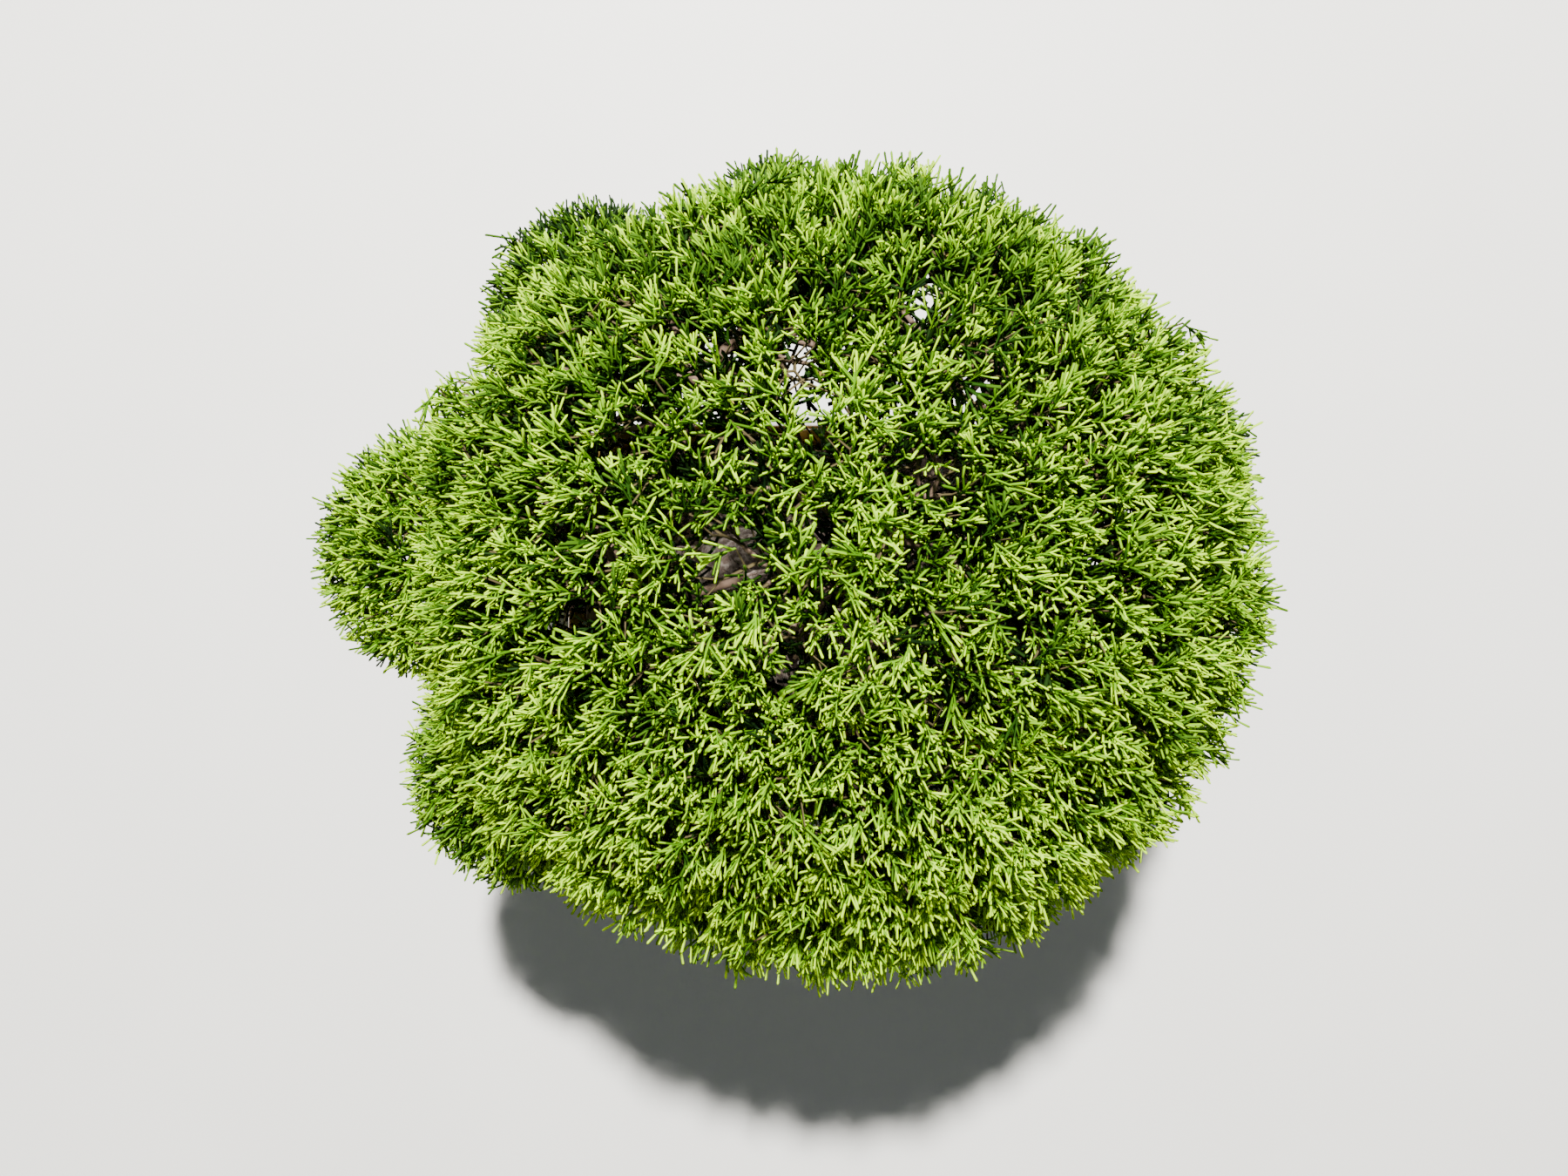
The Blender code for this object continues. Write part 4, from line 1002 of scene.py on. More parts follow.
def plan_boughs(trunk, masses):
    """A bough for every mass but the top one, and each mass's stem as (start, radius, heading)."""
    boughs = []

    def add(mass, parent, share, radius, rise):
        thick = SOLID_TWIG * mass.solid_tips ** SOLID_GROWTH
        way = parent.at(share) - mass.seat
        reach = min(way.length, STEM_OUT)
        while room(mass.seat + way.normalized() * reach, mass, masses) < thick * STEM_ROOM:
            reach -= STEP
        tip = mass.seat + way.normalized() * reach
        heading = (mass.seat - tip).normalized()
        mass.stem = (tip, thick * BOUGH_TIP, heading)
        boughs.append(bough_limb(mass.name, parent, share, tip, heading, radius,
                                 thick * BOUGH_TIP, rise))
        return boughs[-1]

    low_boughs = []
    for mass, height in zip([mass for mass in masses if mass.lobe], LOW_BOUGH_HEIGHTS):
        bough = add(mass, trunk, trunk.share_at(height), LOW_BOUGH_RADIUS, LOW_RISE)
        low_boughs.append((mass.bearing, bough))
    for mass in masses:
        if mass.ring == "brim":
            bearing, parent = min(low_boughs, key=lambda low: near_bearing(low[0], mass.bearing))
            if near_bearing(bearing, mass.bearing) < SIDE_BOUGH_NEAR:
                add(mass, parent, SIDE_BOUGH_START, SIDE_BOUGH_RADIUS, SIDE_RISE)
            else:
                add(mass, trunk, trunk.share_at(FREE_BRIM_HEIGHT), LOW_BOUGH_RADIUS, LOW_RISE)
    shoulders = [mass for mass in masses if mass.ring == "shoulder"]
    for mass, height in zip(shoulders, SHOULDER_HEIGHTS):
        add(mass, trunk, trunk.share_at(height), HIGH_BOUGH_RADIUS, LOW_RISE)
    crest = trunk.points[-1]
    masses[0].stem = (crest, TRUNK_TIP_RADIUS, (crest - trunk.points[-2]).normalized())
    return boughs


class Plan:
    """The tree's layout, made once for all the operators."""

    def __init__(self):
        self.masses = plan_masses()
        count_solid_tips(self.masses)
        self.trunk = trunk_limb()
        self.boughs = plan_boughs(self.trunk, self.masses)


plan = Plan()


# Sprays

# Where a spray grows from, the way it points, its size, its kind and whether its shape is fine.
Spray = namedtuple("Spray", "base heading size kind fine")


def limb_segments():
    starts, ends, radii = [], [], []
    for limb in [plan.trunk] + plan.boughs:
        starts += limb.points[:-1]
        ends += limb.points[1:]
        radii += [max(pair) for pair in zip(limb.radii, limb.radii[1:])]
    return np.array(starts), np.array(ends), np.array(radii)


def clear_of_limbs(point, limbs):
    starts, ends, radii = limbs
    along = ends - starts
    offset = np.array(point) - starts
    share = np.clip((offset * along).sum(1) / (along ** 2).sum(1), 0, 1)
    away = np.linalg.norm(offset - along * share[:, None], axis=1)
    return bool((away > radii + LIMB_ROOM).all())


def deal_kind(weights, place, chance):
    """Deals a kind, with neighbours alike: slow noise shifts the deal between painted sunlight and
    painted shade, and the front is dealt more painted sunlight.
    """
    pick = chance.random() + noise.noise(place * DEAL_GRAIN) * DEAL_SHIFT
    pick += (place.y - CROWN_CENTRE.y) * DEAL_SLOPE
    total = 0.0
    for kind, weight in enumerate(weights):
        total += weight
        if pick < total:
            return kind
    return max(kind for kind, weight in enumerate(weights) if weight > 0)


def gap_state(start, end):
    """2 if the stretch keeps off every gap, 1 in a thin place, 0 in an open one."""
    if gap_room(start, end, [gap[:3] for gap in FINE_GAPS]) < GAP_MARGIN:
        return 0
    return 2 if gap_room(start, end, [(x, y, thin) for x, y, _, thin in FINE_GAPS]) > 0 else 1


def in_beam(start, end):
    for spot, radius in BEAMS:
        for share in ALONG_SPRAY:
            offset = start.lerp(end, share) - spot
            along = offset.dot(LAMP_WAY)
            if along > 0 and (offset - LAMP_WAY * along).length < radius:
                return True
    return False


def dome_outward(place):
    """The way out of the dome at a place, between its normal and the way from the focus."""
    offset = place - CROWN_CENTRE
    flat = CROWN_RADIUS ** 2
    rise = dome_rise(offset.z > 0) ** 2
    normal = Vector((offset.x / flat, offset.y / flat, offset.z / rise)).normalized()
    return (normal + (place - SPRAY_FOCUS).normalized() * FOCUS_PULL).normalized()


def clump_centres(chance):
    """Middles of the dome's clumps, and how far each of them is drawn in."""
    middles, drops = [], []
    spread = CLUMP_JITTER * CLUMP_SPACING / CROWN_RADIUS
    for bearing, elevation in dome_rows(CLUMP_SPACING, CLUMP_SPACING):
        middles.append(dome_point(bearing + chance.uniform(-spread, spread),
                                  elevation + chance.uniform(-spread, spread)))
        drops.append(chance.uniform(0, CLUMP_RELIEF))
    return np.array(middles), drops


def in_clump(clumps, bearing, elevation, depth):
    """A place in its clump, drawn in where it lies in a crease, and the way out of the clump."""
    middles, drops = clumps
    apart = np.linalg.norm(middles - np.array(dome_point(bearing, elevation)), axis=1)
    nearest = int(apart.argmin())
    first, second = np.partition(apart, 1)[:2]
    drawn = depth * (1 - CREASE * math.exp(-(second - first) / CREASE_WIDTH) - drops[nearest])
    place = dome_point(bearing, elevation, drawn)
    heart = CROWN_CENTRE + (Vector(middles[nearest]) - CROWN_CENTRE) * CLUMP_DEPTH
    return place, (place - heart).normalized()


class Spreader:
    """Spreads sprays of one length over the crown."""

    def __init__(self, length):
        self.length = length
        self.chance = random.Random(SEED)
        self.limbs = limb_segments()
        self.dome = [mass for mass in plan.masses if mass.lobe is None]

    def owner(self, place):
        return min(self.dome, key=lambda mass: (mass.seat - place).length)

    def add(self, mass, place, outward, weights, fine):
        """Adds a spray whose tip is at the place, unless it would hide a gap or cross a limb.

        Some sprays are left out in thin places and where the lamp shines in.
        """
        chance = self.chance
        side = outward.orthogonal().normalized()
        turn = Matrix.Rotation(chance.uniform(0, FULL_TURN), 3, outward)
        upward = max(outward.z, 0.0) ** 3
        tilt = SPRAY_TILT + (TOP_TILT - SPRAY_TILT) * upward
        lean = math.radians(min(abs(chance.gauss(0, tilt)), MOST_LEAN))
        heading = (outward * math.cos(lean) + (turn @ side) * math.sin(lean)).normalized()
        variety = 1 + chance.uniform(-SIZE_VARIETY, SIZE_VARIETY)
        size = (1.0 if fine else COARSE_SIZE) * variety
        base = place - heading * self.length * size
        kept = chance.random() < THIN_SHARE
        state = gap_state(base, place)
        if state == 0 or (state == 1 and not kept):
            return
        if in_beam(base, place) and chance.random() > BEAM_SHARE:
            return
        if all(clear_of_limbs(base.lerp(place, share), self.limbs) for share in ALONG_SPRAY):
            kind = deal_kind(weights, place, chance)
            mass.sprays.append(Spray(base, heading, size, kind, fine))

    def cover_dome(self):
        chance = self.chance
        clumps = clump_centres(chance)
        for depth, spacing, top_spacing, fine, weights in DOME_LAYERS:
            for bearing, elevation in dome_rows(spacing, top_spacing):
                bearing += chance.uniform(-1, 1) * SPRAY_JITTER * spacing / CROWN_RADIUS
                elevation += chance.uniform(-1, 1) * SPRAY_JITTER * spacing / CROWN_RADIUS
                level = depth * (1 - abs(chance.gauss(0, DEPTH_JITTER)))
                place, out_of_clump = in_clump(clumps, bearing, elevation, level)
                outward = (dome_outward(place) + out_of_clump * CLUMP_PULL).normalized()
                self.add(self.owner(place), place, outward, weights, fine)

    def cover_lobe(self, mass):
        weights = LEFT_LOBE_KINDS if mass.name == "left" else LOBE_KINDS
        for share, spacing, fine in LOBE_LAYERS:
            area = 4 * math.pi * (mass.lobe * share) ** 2 * LOBE_COVER
            count = round(area / (spacing * spacing * ROW_SHARE))
            for bearing, elevation in even_directions(count):
                level = share * (1 - abs(self.chance.gauss(0, DEPTH_JITTER)))
                place = lobe_place(mass, bearing, elevation, level)
                if place is None or dome_depth(place) < LOBE_DEPTH:
                    continue
                outward = (place - mass.seat).normalized()
                outward += (place - SPRAY_FOCUS).normalized() * LOBE_FOCUS_PULL
                self.add(mass, place, outward.normalized(), weights, fine)

    def cover_underside(self):
        chance = self.chance
        middle_drop, rim_drop, drop_spread = UNDER_DROP
        rings = int((1 - UNDER_SHARE) * CROWN_RADIUS / UNDER_SPACING)
        for ring in range(rings):
            share = UNDER_SHARE + (1 - UNDER_SHARE) * (ring + 0.5) / rings
            count = round(FULL_TURN * CROWN_RADIUS * share / UNDER_SPACING)
            for index in range(count):
                step = index + chance.uniform(-UNDER_JITTER, UNDER_JITTER)
                bearing = FULL_TURN * step / count + ring
                flat = crown_radius(bearing) * share * UNDER_REACH
                drop = middle_drop + rim_drop * share + chance.uniform(-drop_spread, drop_spread)
                way = direction_of(bearing, 0)
                place = CROWN_CENTRE + way * flat - Vector((0, 0, drop))
                outward = (way - Vector((0, 0, UNDER_SLOPE))).normalized()
                self.add(self.owner(place), place, outward, UNDER_KINDS, False)


# Twigs

def halve(sprays):
    """Halves the sprays across the direction in which they spread most."""
    places = np.array([spray.base for spray in sprays])
    offsets = places - places.mean(0)
    _, ways = np.linalg.eigh(offsets.T @ offsets)
    order = np.argsort(offsets @ ways[:, -1], kind="stable")
    half = len(sprays) // 2
    return [sprays[k] for k in order[:half]], [sprays[k] for k in order[half:]]


def bend_between(start, leave, end, arrive, steps, chance):
    """Points of a soft bend from start to end, with a little sway."""
    length = (end - start).length
    first = start + leave * length * TWIG_BEND
    second = end - arrive * length * TWIG_BEND
    sway = chance.uniform(-TWIG_SWAY, TWIG_SWAY)
    side = (end - start).orthogonal().normalized() * length * sway
    shares = [step / steps for step in range(steps + 1)]
    return [soft_bend(start, first, second, end, t) + side * math.sin(math.pi * t) for t in shares]


def fork_twigs(start, leave, start_radius, sprays, twigs, finest, chance):
    """Forks from a point towards the sprays, halving them at every fork, down to one."""
    count = len(sprays)
    radius = finest * count ** TWIG_GROWTH
    if count == 1:
        end = sprays[0].base
        arrive = sprays[0].heading
    else:
        middle = sum((spray.base for spray in sprays), Vector()) / count
        end = start.lerp(middle, FORK_SHARE)
        arrive = (middle - start).normalized()
    steps = next(steps for below, steps in TWIG_STEPS if count < below)
    points = bend_between(start, leave, end, arrive, steps, chance)
    radii = [start_radius + (radius - start_radius) * step / steps for step in range(steps + 1)]
    twigs.append((points, radii))
    if count > 1:
        for part, share in zip(halve(sprays), (SIDE_FORK, 1.0)):
            index = round(share * steps)
            thin = min(finest * len(part) ** TWIG_GROWTH * FORK_THICKER, radii[index])
            fork_twigs(points[index], arrive, thin, part, twigs, finest, chance)


def stem_of(mass, finest, chance):
    """All the twigs of a mass, from its stem on."""
    start, thick, heading = mass.stem
    points = bend_between(start, heading, mass.seat, heading, STEM_STEPS, chance)
    narrowing = min(finest * len(mass.sprays) ** TWIG_GROWTH, thick) - thick
    radii = [thick + narrowing * step / STEM_STEPS for step in range(STEM_STEPS + 1)]
    twigs = [(points, radii)]
    for part, index in zip(halve(mass.sprays), STEM_FORKS):
        thin = min(finest * len(part) ** TWIG_GROWTH, radii[index])
        fork_twigs(points[index], heading, thin, part, twigs, finest, chance)
    return twigs


def twig_tree():
    """Sweeps a tube along every line of points, as thick as its points say."""
    tree = Group("twigs", {"Geometry": "Geometry", "Sides": "Int", "Material": "Material"})
    curve = tree.add("GeometryNodeMeshToCurve", {"Mesh": tree.given("Geometry")})
    ring = tree.add("GeometryNodeCurvePrimitiveCircle", {
        "Resolution": tree.given("Sides"), "Radius": 1.0,
    })
    tube = tree.add("GeometryNodeCurveToMesh", {
        "Curve": curve, "Profile Curve": ring,
        "Scale": tree.named("thick", "FLOAT"), "Fill Caps": True,
    })
    smooth = tree.add("GeometryNodeSetShadeSmooth", {"Geometry": tube})
    return tree.finish(tree.coat(smooth, tree.given("Material")))


def line_piece(name, lines):
    """A piece of separate lines of points, each point with its thickness."""
    vertices, edges, thick = [], [], []
    for points, radii in lines:
        first = len(vertices)
        vertices += points
        edges += [(first + k, first + k + 1) for k in range(len(points) - 1)]
        thick += radii
    piece = new_piece(name, vertices, [], smooth=False, edges=edges)
    store(piece.data, "thick", "FLOAT", thick)
    return piece


# The shape of a spray

def turned(heading, lean, around):
    """The heading turned aside by the angle lean, towards the direction around."""
    side = Matrix.Rotation(around, 3, heading) @ heading.orthogonal().normalized()
    return (heading * math.cos(lean) + side * math.sin(lean)).normalized()


def spray_template(name, foliage, fine, chance):
    """One spray along +Z: an older axis and side axes that carry young shoots.

    Its faces are marked as older parts, darker partly as painted shade, young shoots and dry ones.
    """
    vertices, faces, marks = [], [], []
    length = foliage.spray
    radius = foliage.shoot * (1.0 if fine else COARSE_SHOOT)
    axis = Vector((0, 0, 1))

    def stem(start, heading, reach, bend, rings, part, blunt=False):
        """Adds a stem through rings of the given (place along, width), and a blunt end."""
        across = heading.orthogonal().normalized()
        other = heading.cross(across)
        spin = chance.uniform(0, FULL_TURN)
        end = start + (heading + bend) * reach
        low = None
        for share, width in rings:
            centre = start + heading * reach * share + bend * reach * share * share
            first = len(vertices)
            for side in range(STEM_SIDES):
                angle = spin + FULL_TURN * side / STEM_SIDES
                way = across * math.cos(angle) + other * math.sin(angle)
                vertices.append(centre + way * radius * width)
            if low is not None:
                for side in range(STEM_SIDES):
                    near = (side + 1) % STEM_SIDES
                    faces.append((low + side, low + near, first + near, first + side))
            low = first
        if blunt:
            vertices.append(end)
            for side in range(STEM_SIDES):
                faces.append((low + side, low + (side + 1) % STEM_SIDES, len(vertices) - 1))
        marks.extend([part] * (len(faces) - len(marks)))
        return end

    def shoot(start, heading, part=YOUNG):
        if chance.random() < DRY_SHARE:
            part = DRY
        reach = length * chance.uniform(*SHOOT_SHARES)
        inward, sideways = SHOOT_BEND
        aside = heading.orthogonal().normalized() * chance.uniform(-sideways, sideways)
        stem(start, heading, reach, axis * inward + aside, SHOOT_RINGS, part, fine)

    def lean_off(heading, leans, around=None):
        lean = math.radians(chance.uniform(*leans))
        return turned(heading, lean, chance.uniform(0, FULL_TURN) if around is None else around)

    sway = Vector((chance.uniform(-1, 1), chance.uniform(-1, 1), 0)) * AXIS_SWAY
    top = stem(Vector(), axis, length * AXIS_SHARE, sway, AXIS_RINGS, OLDER_SHADED)
    around = chance.uniform(0, FULL_TURN)
    for number in range(TOP_SHOOTS):
        shoot(top, lean_off(axis, TOP_LEAN, around + number * GOLDEN_ANGLE))
    limbs = []
    for number in range(SIDE_AXES):
        share = SIDE_STARTS[0] + SIDE_STARTS[1] * number / (SIDE_AXES - 1)
        around += GOLDEN_ANGLE + chance.gauss(0, SIDE_TURN)
        heading = lean_off(axis, SIDE_LEAN, around)
        start = axis * length * AXIS_SHARE * share + sway * length * AXIS_SHARE * share * share
        taper = SIDE_TAPER[0] - SIDE_TAPER[1] * share
        reach = length * SIDE_AXIS_SHARE * taper * chance.uniform(*SIDE_VARIETY)
        limbs.append((start, stem(start, heading, reach, axis * SIDE_BEND, AXIS_RINGS, OLDER_SHADED)))
    for number in range(SIDE_SHOOTS):
        start, end = limbs[number % SIDE_AXES]
        heading = (end - start).normalized()
        if number < SIDE_AXES:
            shoot(end, lean_off(heading, END_LEAN))
        else:
            place = start.lerp(end, chance.uniform(*ALONG_STARTS))
            # Every other shoot along a side axis takes the older colour, partly painted shade.
            shoot(place, lean_off(heading, ALONG_LEAN), OLDER_SHADED if number % 2 else YOUNG)
    template = new_piece(name, vertices, faces)
    store(template.data, "tip", "INT", marks, "FACE")
    bpy.context.scene.collection.objects.unlink(template)
    return template


def spray_tree(materials):
    """Sets a spray on every point, picked and turned at random, in the materials of its kind."""
    tree = Group("juniper_sprays", {
        "Geometry": "Geometry", "Shapes": "Collection", "Fine Shapes": "Int",
        "Coarse Shapes": "Int", "Seed": "Int",
    })
    seed = tree.given("Seed")
    many = tree.given("Fine Shapes")
    chance = tree.random(0.0, UNDER_ONE, seed)
    pick = tree.add("GeometryNodeSwitch", {
        0: tree.named("fine", "INT"),
        1: tree.calculate("MULTIPLY_ADD", chance, tree.given("Coarse Shapes"), many),
        2: tree.calculate("MULTIPLY", chance, many),
    }, input_type="FLOAT")
    index = tree.add("FunctionNodeFloatToInt", {0: pick}, rounding_mode="FLOOR")
    roll = tree.add("ShaderNodeCombineXYZ", {"Z": tree.random(0.0, FULL_TURN, seed)})
    spin = tree.add("FunctionNodeEulerToRotation", {"Euler": roll})
    turn = tree.add("FunctionNodeRotateRotation", {
        "Rotation": tree.named("turn", "QUATERNION"), "Rotate By": spin,
    }, rotation_space="LOCAL")
    geometry = tree.realize(tree.place_shapes(
        tree.given("Geometry"), tree.given("Shapes"), index, turn, tree.named("size", "FLOAT")))
    for kind, parts in enumerate(materials):
        for part, material in enumerate(parts):
            both = tree.add("FunctionNodeBooleanMath", {
                0: tree.compare(tree.named("kind", "INT"), "EQUAL", kind, "INT"),
                1: tree.compare(tree.named("tip", "INT"), "EQUAL", part, "INT"),
            }, operation="AND")
            geometry = tree.coat(geometry, material, both)
    return tree.finish(geometry)


# Bark

def smooth_path(points, values, count):
    """Resamples the points and values along a smooth curve through them."""
    points = np.array([tuple(point) for point in points])
    values = np.array(values)
    padded = np.vstack((2 * points[0] - points[1], points, 2 * points[-1] - points[-2]))
    place = np.linspace(0, len(points) - 1, count)
    index = np.minimum(place.astype(int), len(points) - 2)
    t = (place - index)[:, None]
    a, b, c, d = (padded[index + k] for k in range(4))
    square = (2 * a - 5 * b + 4 * c - d) * t ** 2
    cube = (3 * b - a - 3 * c + d) * t ** 3
    path = 0.5 * (2 * b + (c - a) * t + square + cube)
    return path, np.interp(place, np.arange(len(values)), values)


def bark_height(angle, length, radius, seed):
    """Height of the bark's long fibrous flakes, from 0 in a furrow to 1 on a crest."""
    round_scale = BARK_ROUND[0] + radius * BARK_ROUND[1]
    twist = angle + length * BARK_TWIST
    place = Vector((math.cos(twist) * round_scale, math.sin(twist) * round_scale,
                    length * BARK_ALONG + seed))
    across, along, shift = BARK_FINE_SCALE
    small = Vector((place.x * across, place.y * across, place.z * along + shift))
    coarse = 1 - abs(noise.noise(place)) * BARK_COARSE[0]
    fine = 1 - abs(noise.noise(small)) * BARK_FINE[0]
    return min(max(BARK_COARSE[1] * coarse + BARK_FINE[1] * fine, 0.0), 1.0)


def wrap_uv(piece, sides, lengths, girth):
    """Unrolls a tube: U goes round it and V along it, both in metres."""
    mesh = piece.data
    coords = np.zeros((len(mesh.loops), 2), dtype=np.float32)
    for polygon in mesh.polygons:
        corners = [mesh.loops[k].vertex_index for k in polygon.loop_indices]
        turns = [vertex % sides for vertex in corners]
        wraps = 0 in turns and sides - 1 in turns
        for k, vertex, turn in zip(polygon.loop_indices, corners, turns):
            turn = sides if wraps and turn == 0 else turn
            coords[k] = (girth * turn / sides, lengths[vertex // sides])
    mesh.uv_layers.new(name="UVMap").data.foreach_set("uv", coords.ravel())


def bark_tube(limb, size, relief, material, seed, ridge=None, collar=0.0):
    """A limb with its bark in relief, closed at both ends."""
    sides, rings = size
    path, radii = smooth_path(limb.points, limb.radii, rings)
    steps = np.linalg.norm(np.diff(path, axis=0), axis=1)
    lengths = np.concatenate(([0.0], np.cumsum(steps)))
    outlines, heights = [], []
    side = Vector((1, 0, 0))
    for level in range(rings):
        ahead = Vector(path[min(level + 1, rings - 1)] - path[max(level - 1, 0)]).normalized()
        if abs(ahead.dot(side)) > UPRIGHT:
            side = Vector((0, 1, 0))
        side = (side - ahead * side.dot(ahead)).normalized()
        other = ahead.cross(side)
        centre = Vector(path[level])
        swelling = collar * math.exp(-lengths[level] / (radii[0] * COLLAR_FADE))
        radius = radii[level] * (1 + swelling)
        depth = relief * min(radii[level] / TRUNK_FOOT_RADIUS, 1.0) ** RELIEF_TAPER
        outline = []
        for angle in angles_round(sides):
            height = bark_height(angle, lengths[level], radii[level], seed)
            reach = radius * (ridge(level, angle) if ridge else 1.0)
            reach += depth * (height - BARK_MIDDLE)
            outline.append(centre + (side * math.cos(angle) + other * math.sin(angle)) * reach)
            heights.append(height)
        outlines.append(outline)
    piece = new_piece("bark_" + limb.name, *loft(outlines), (material,))
    store(piece.data, "relief", "FLOAT", heights)
    wrap_uv(piece, sides, lengths, FULL_TURN * float(radii.mean()))
    return piece


# Pot and soil

def rounded_outline(inset, height, steps):
    """The pot's outline, drawn in by the inset, at a height."""
    half_x = POT_LENGTH / 2 - inset
    half_y = POT_WIDTH / 2 - inset
    corner = max(POT_CORNER - inset * POT_CORNER_SHRINK, POT_LEAST_CORNER)
    points = []
    for quarter, (side_x, side_y) in enumerate(((1, 1), (-1, 1), (-1, -1), (1, -1))):
        for step in range(steps + 1):
            angle = math.pi / 2 * (quarter + step / steps)
            points.append(Vector((side_x * (half_x - corner) + corner * math.cos(angle),
                                  side_y * (half_y - corner) + corner * math.sin(angle), height)))
    return points


def inner_inset(height):
    share = (height - POT_FLOOR) / (POT_HEIGHT - POT_FLOOR)
    return POT_RIM_WIDTH + POT_INNER_TAPER * (1 - share)


def pot_profile():
    """The corners of the pot's profile: (inset, height, radius, how thin the glaze is)."""
    rim_foot = POT_HEIGHT - POT_RIM_HEIGHT
    return (
        (POT_FOOT_INSET + FOOT_WIDTH, 0.0, 0.0, 0.0),
        (POT_FOOT_INSET, 0.0, 0.0008, 0.4),
        (POT_FOOT_INSET, POT_FOOT_HEIGHT, 0.0015, 0.5),
        (POT_FOOT_INSET - POT_BEVEL, POT_FOOT_HEIGHT + POT_BEVEL, 0.004, 0.5),
        (POT_BELLY_INSET, POT_HEIGHT * POT_BELLY_SHARE, 0.016, 0.0),
        (POT_RIM_STEP, rim_foot - POT_BEVEL, 0.0015, 0.0),
        (0.0, rim_foot, 0.0018, 0.95),
        (0.0, POT_HEIGHT, 0.0028, 1.0),
        (POT_RIM_WIDTH, POT_HEIGHT, 0.0020, 0.9),
        (inner_inset(POT_FLOOR), POT_FLOOR, 0.006, 0.0),
        (POT_RIM_WIDTH + FLOOR_EDGE, POT_FLOOR, 0.0, 0.0),
    )


def rounded_profile(corners):
    """Rounds a profile's corners. The glaze is thinnest in the middle of each."""
    profile = []
    for index, (inset, height, radius, edge) in enumerate(corners):
        here = Vector((inset, height))
        if radius == 0:
            profile.append((here, edge))
            continue
        before = Vector(corners[index - 1][:2])
        after = Vector(corners[index + 1][:2])
        back = min(radius, (before - here).length * CORNER_REACH,
                   (after - here).length * CORNER_REACH)
        first = here + (before - here).normalized() * back
        last = here + (after - here).normalized() * back
        for step in range(CORNER_ROUND_STEPS + 1):
            t = step / CORNER_ROUND_STEPS
            point = first * (1 - t) ** 2 + here * 2 * t * (1 - t) + last * t * t
            wave = math.sin(math.pi * (THIN_SPAN[0] + THIN_SPAN[1] * t))
            profile.append((point, edge * wave))
    return profile


def grain_shapes():
    """A collection of uneven grains, one unit wide."""
    chance = random.Random(SEED)
    shapes = bpy.data.collections.new("grains")
    for index in range(GRIT_SHAPES):
        shape = bmesh.new()
        bmesh.ops.create_icosphere(shape, subdivisions=1, radius=0.5)
        for vertex in shape.verts:
            vertex.co *= chance.uniform(*GRIT_REACH)
            vertex.co.z *= GRIT_FLATNESS
        mesh = bpy.data.meshes.new(f"grain_{index}")
        shape.to_mesh(mesh)
        shape.free()
        shapes.objects.link(bpy.data.objects.new(f"grain_{index}", mesh))
    return shapes


def grit_tree(materials):
    """Scatters grains over the parts of a mesh that face up, and deals them the materials."""
    tree = Group("grit", {
        "Geometry": "Geometry", "Grains": "Collection", "Grain": "Float",
        "Density": "Float", "Seed": "Int",
    })
    seed = tree.given("Seed")
    normal = tree.add("GeometryNodeInputNormal")
    upward = tree.add("ShaderNodeSeparateXYZ", {"Vector": normal}, "Z")
    spots = tree.add("GeometryNodeDistributePointsOnFaces", {
        "Mesh": tree.given("Geometry"), "Density": tree.given("Density"), "Seed": seed,
        "Selection": tree.compare(upward, "GREATER_THAN", GRIT_SLOPE),
    })
    turn = tree.random((0, 0, 0), GRIT_TURN, seed, "FLOAT_VECTOR")
    rotation = tree.add("FunctionNodeEulerToRotation", {"Euler": turn})
    pick = tree.random(0, GRIT_SHAPES - 1, seed, "INT")
    size = tree.calculate("MULTIPLY", tree.random(*GRIT_SIZES, seed), tree.given("Grain"))
    stored = tree.add("GeometryNodeStoreNamedAttribute", {
        "Geometry": tree.place_shapes(spots, tree.given("Grains"), pick, rotation, size),
        "Name": "deal", "Value": tree.random(0.0, 1.0, GRIT_DEAL_SEED),
    }, data_type="FLOAT", domain="INSTANCE")
    geometry = tree.coat(tree.realize(stored), materials[0])
    for material, share in zip(materials[1:], GRIT_SHARES):
        chosen = tree.compare(tree.named("deal", "FLOAT"), "LESS_THAN", share)
        geometry = tree.coat(geometry, material, chosen)
    return tree.finish(geometry)


# Operators

class BONSAI_OT_stage(Operator):
    """Lay the floor, hang the lamps and set the camera"""
    bl_idname = "bonsai.stage"
    bl_label = "Stage"

    def execute(self, context):
        stage = context.scene.bonsai_stage
        sides = ((-1, -1), (1, -1), (1, 1), (-1, 1))
        corners = [(x * FLOOR_HALF, y * FLOOR_HALF, FLOOR_LEVEL) for x, y in sides]
        floor = new_piece("floor", corners, [(0, 1, 2, 3)], (floor_material(stage),), smooth=False)
        for name, (width, colour, away) in LAMPS.items():
            light = bpy.data.lights.new(name, "AREA")
            light.energy = getattr(stage, name)
            light.shape = "DISK"
            light.size = width
            light.color = colour
            lamp = link_object(name, light)
            lamp.location = CROWN_CENTRE + away
            lamp.rotation_euler = away.to_track_quat("Z", "Y").to_euler()
        world = bpy.data.worlds.new("studio")
        world.use_nodes = True
        sky = world.node_tree.nodes["Background"]
        sky.inputs["Color"].default_value = SKY_COLOUR
        sky.inputs["Strength"].default_value = stage.fill
        context.scene.world = world
        camera = bpy.data.cameras.new("camera")
        camera.sensor_width = SENSOR_WIDTH
        camera.lens = stage.lens
        camera.clip_start, camera.clip_end = CAMERA_CLIP
        view = link_object("camera", camera)
        view.location = (GAP_APEX.x, GAP_APEX.y, stage.height)
        context.scene.camera = view
        return {"FINISHED"}


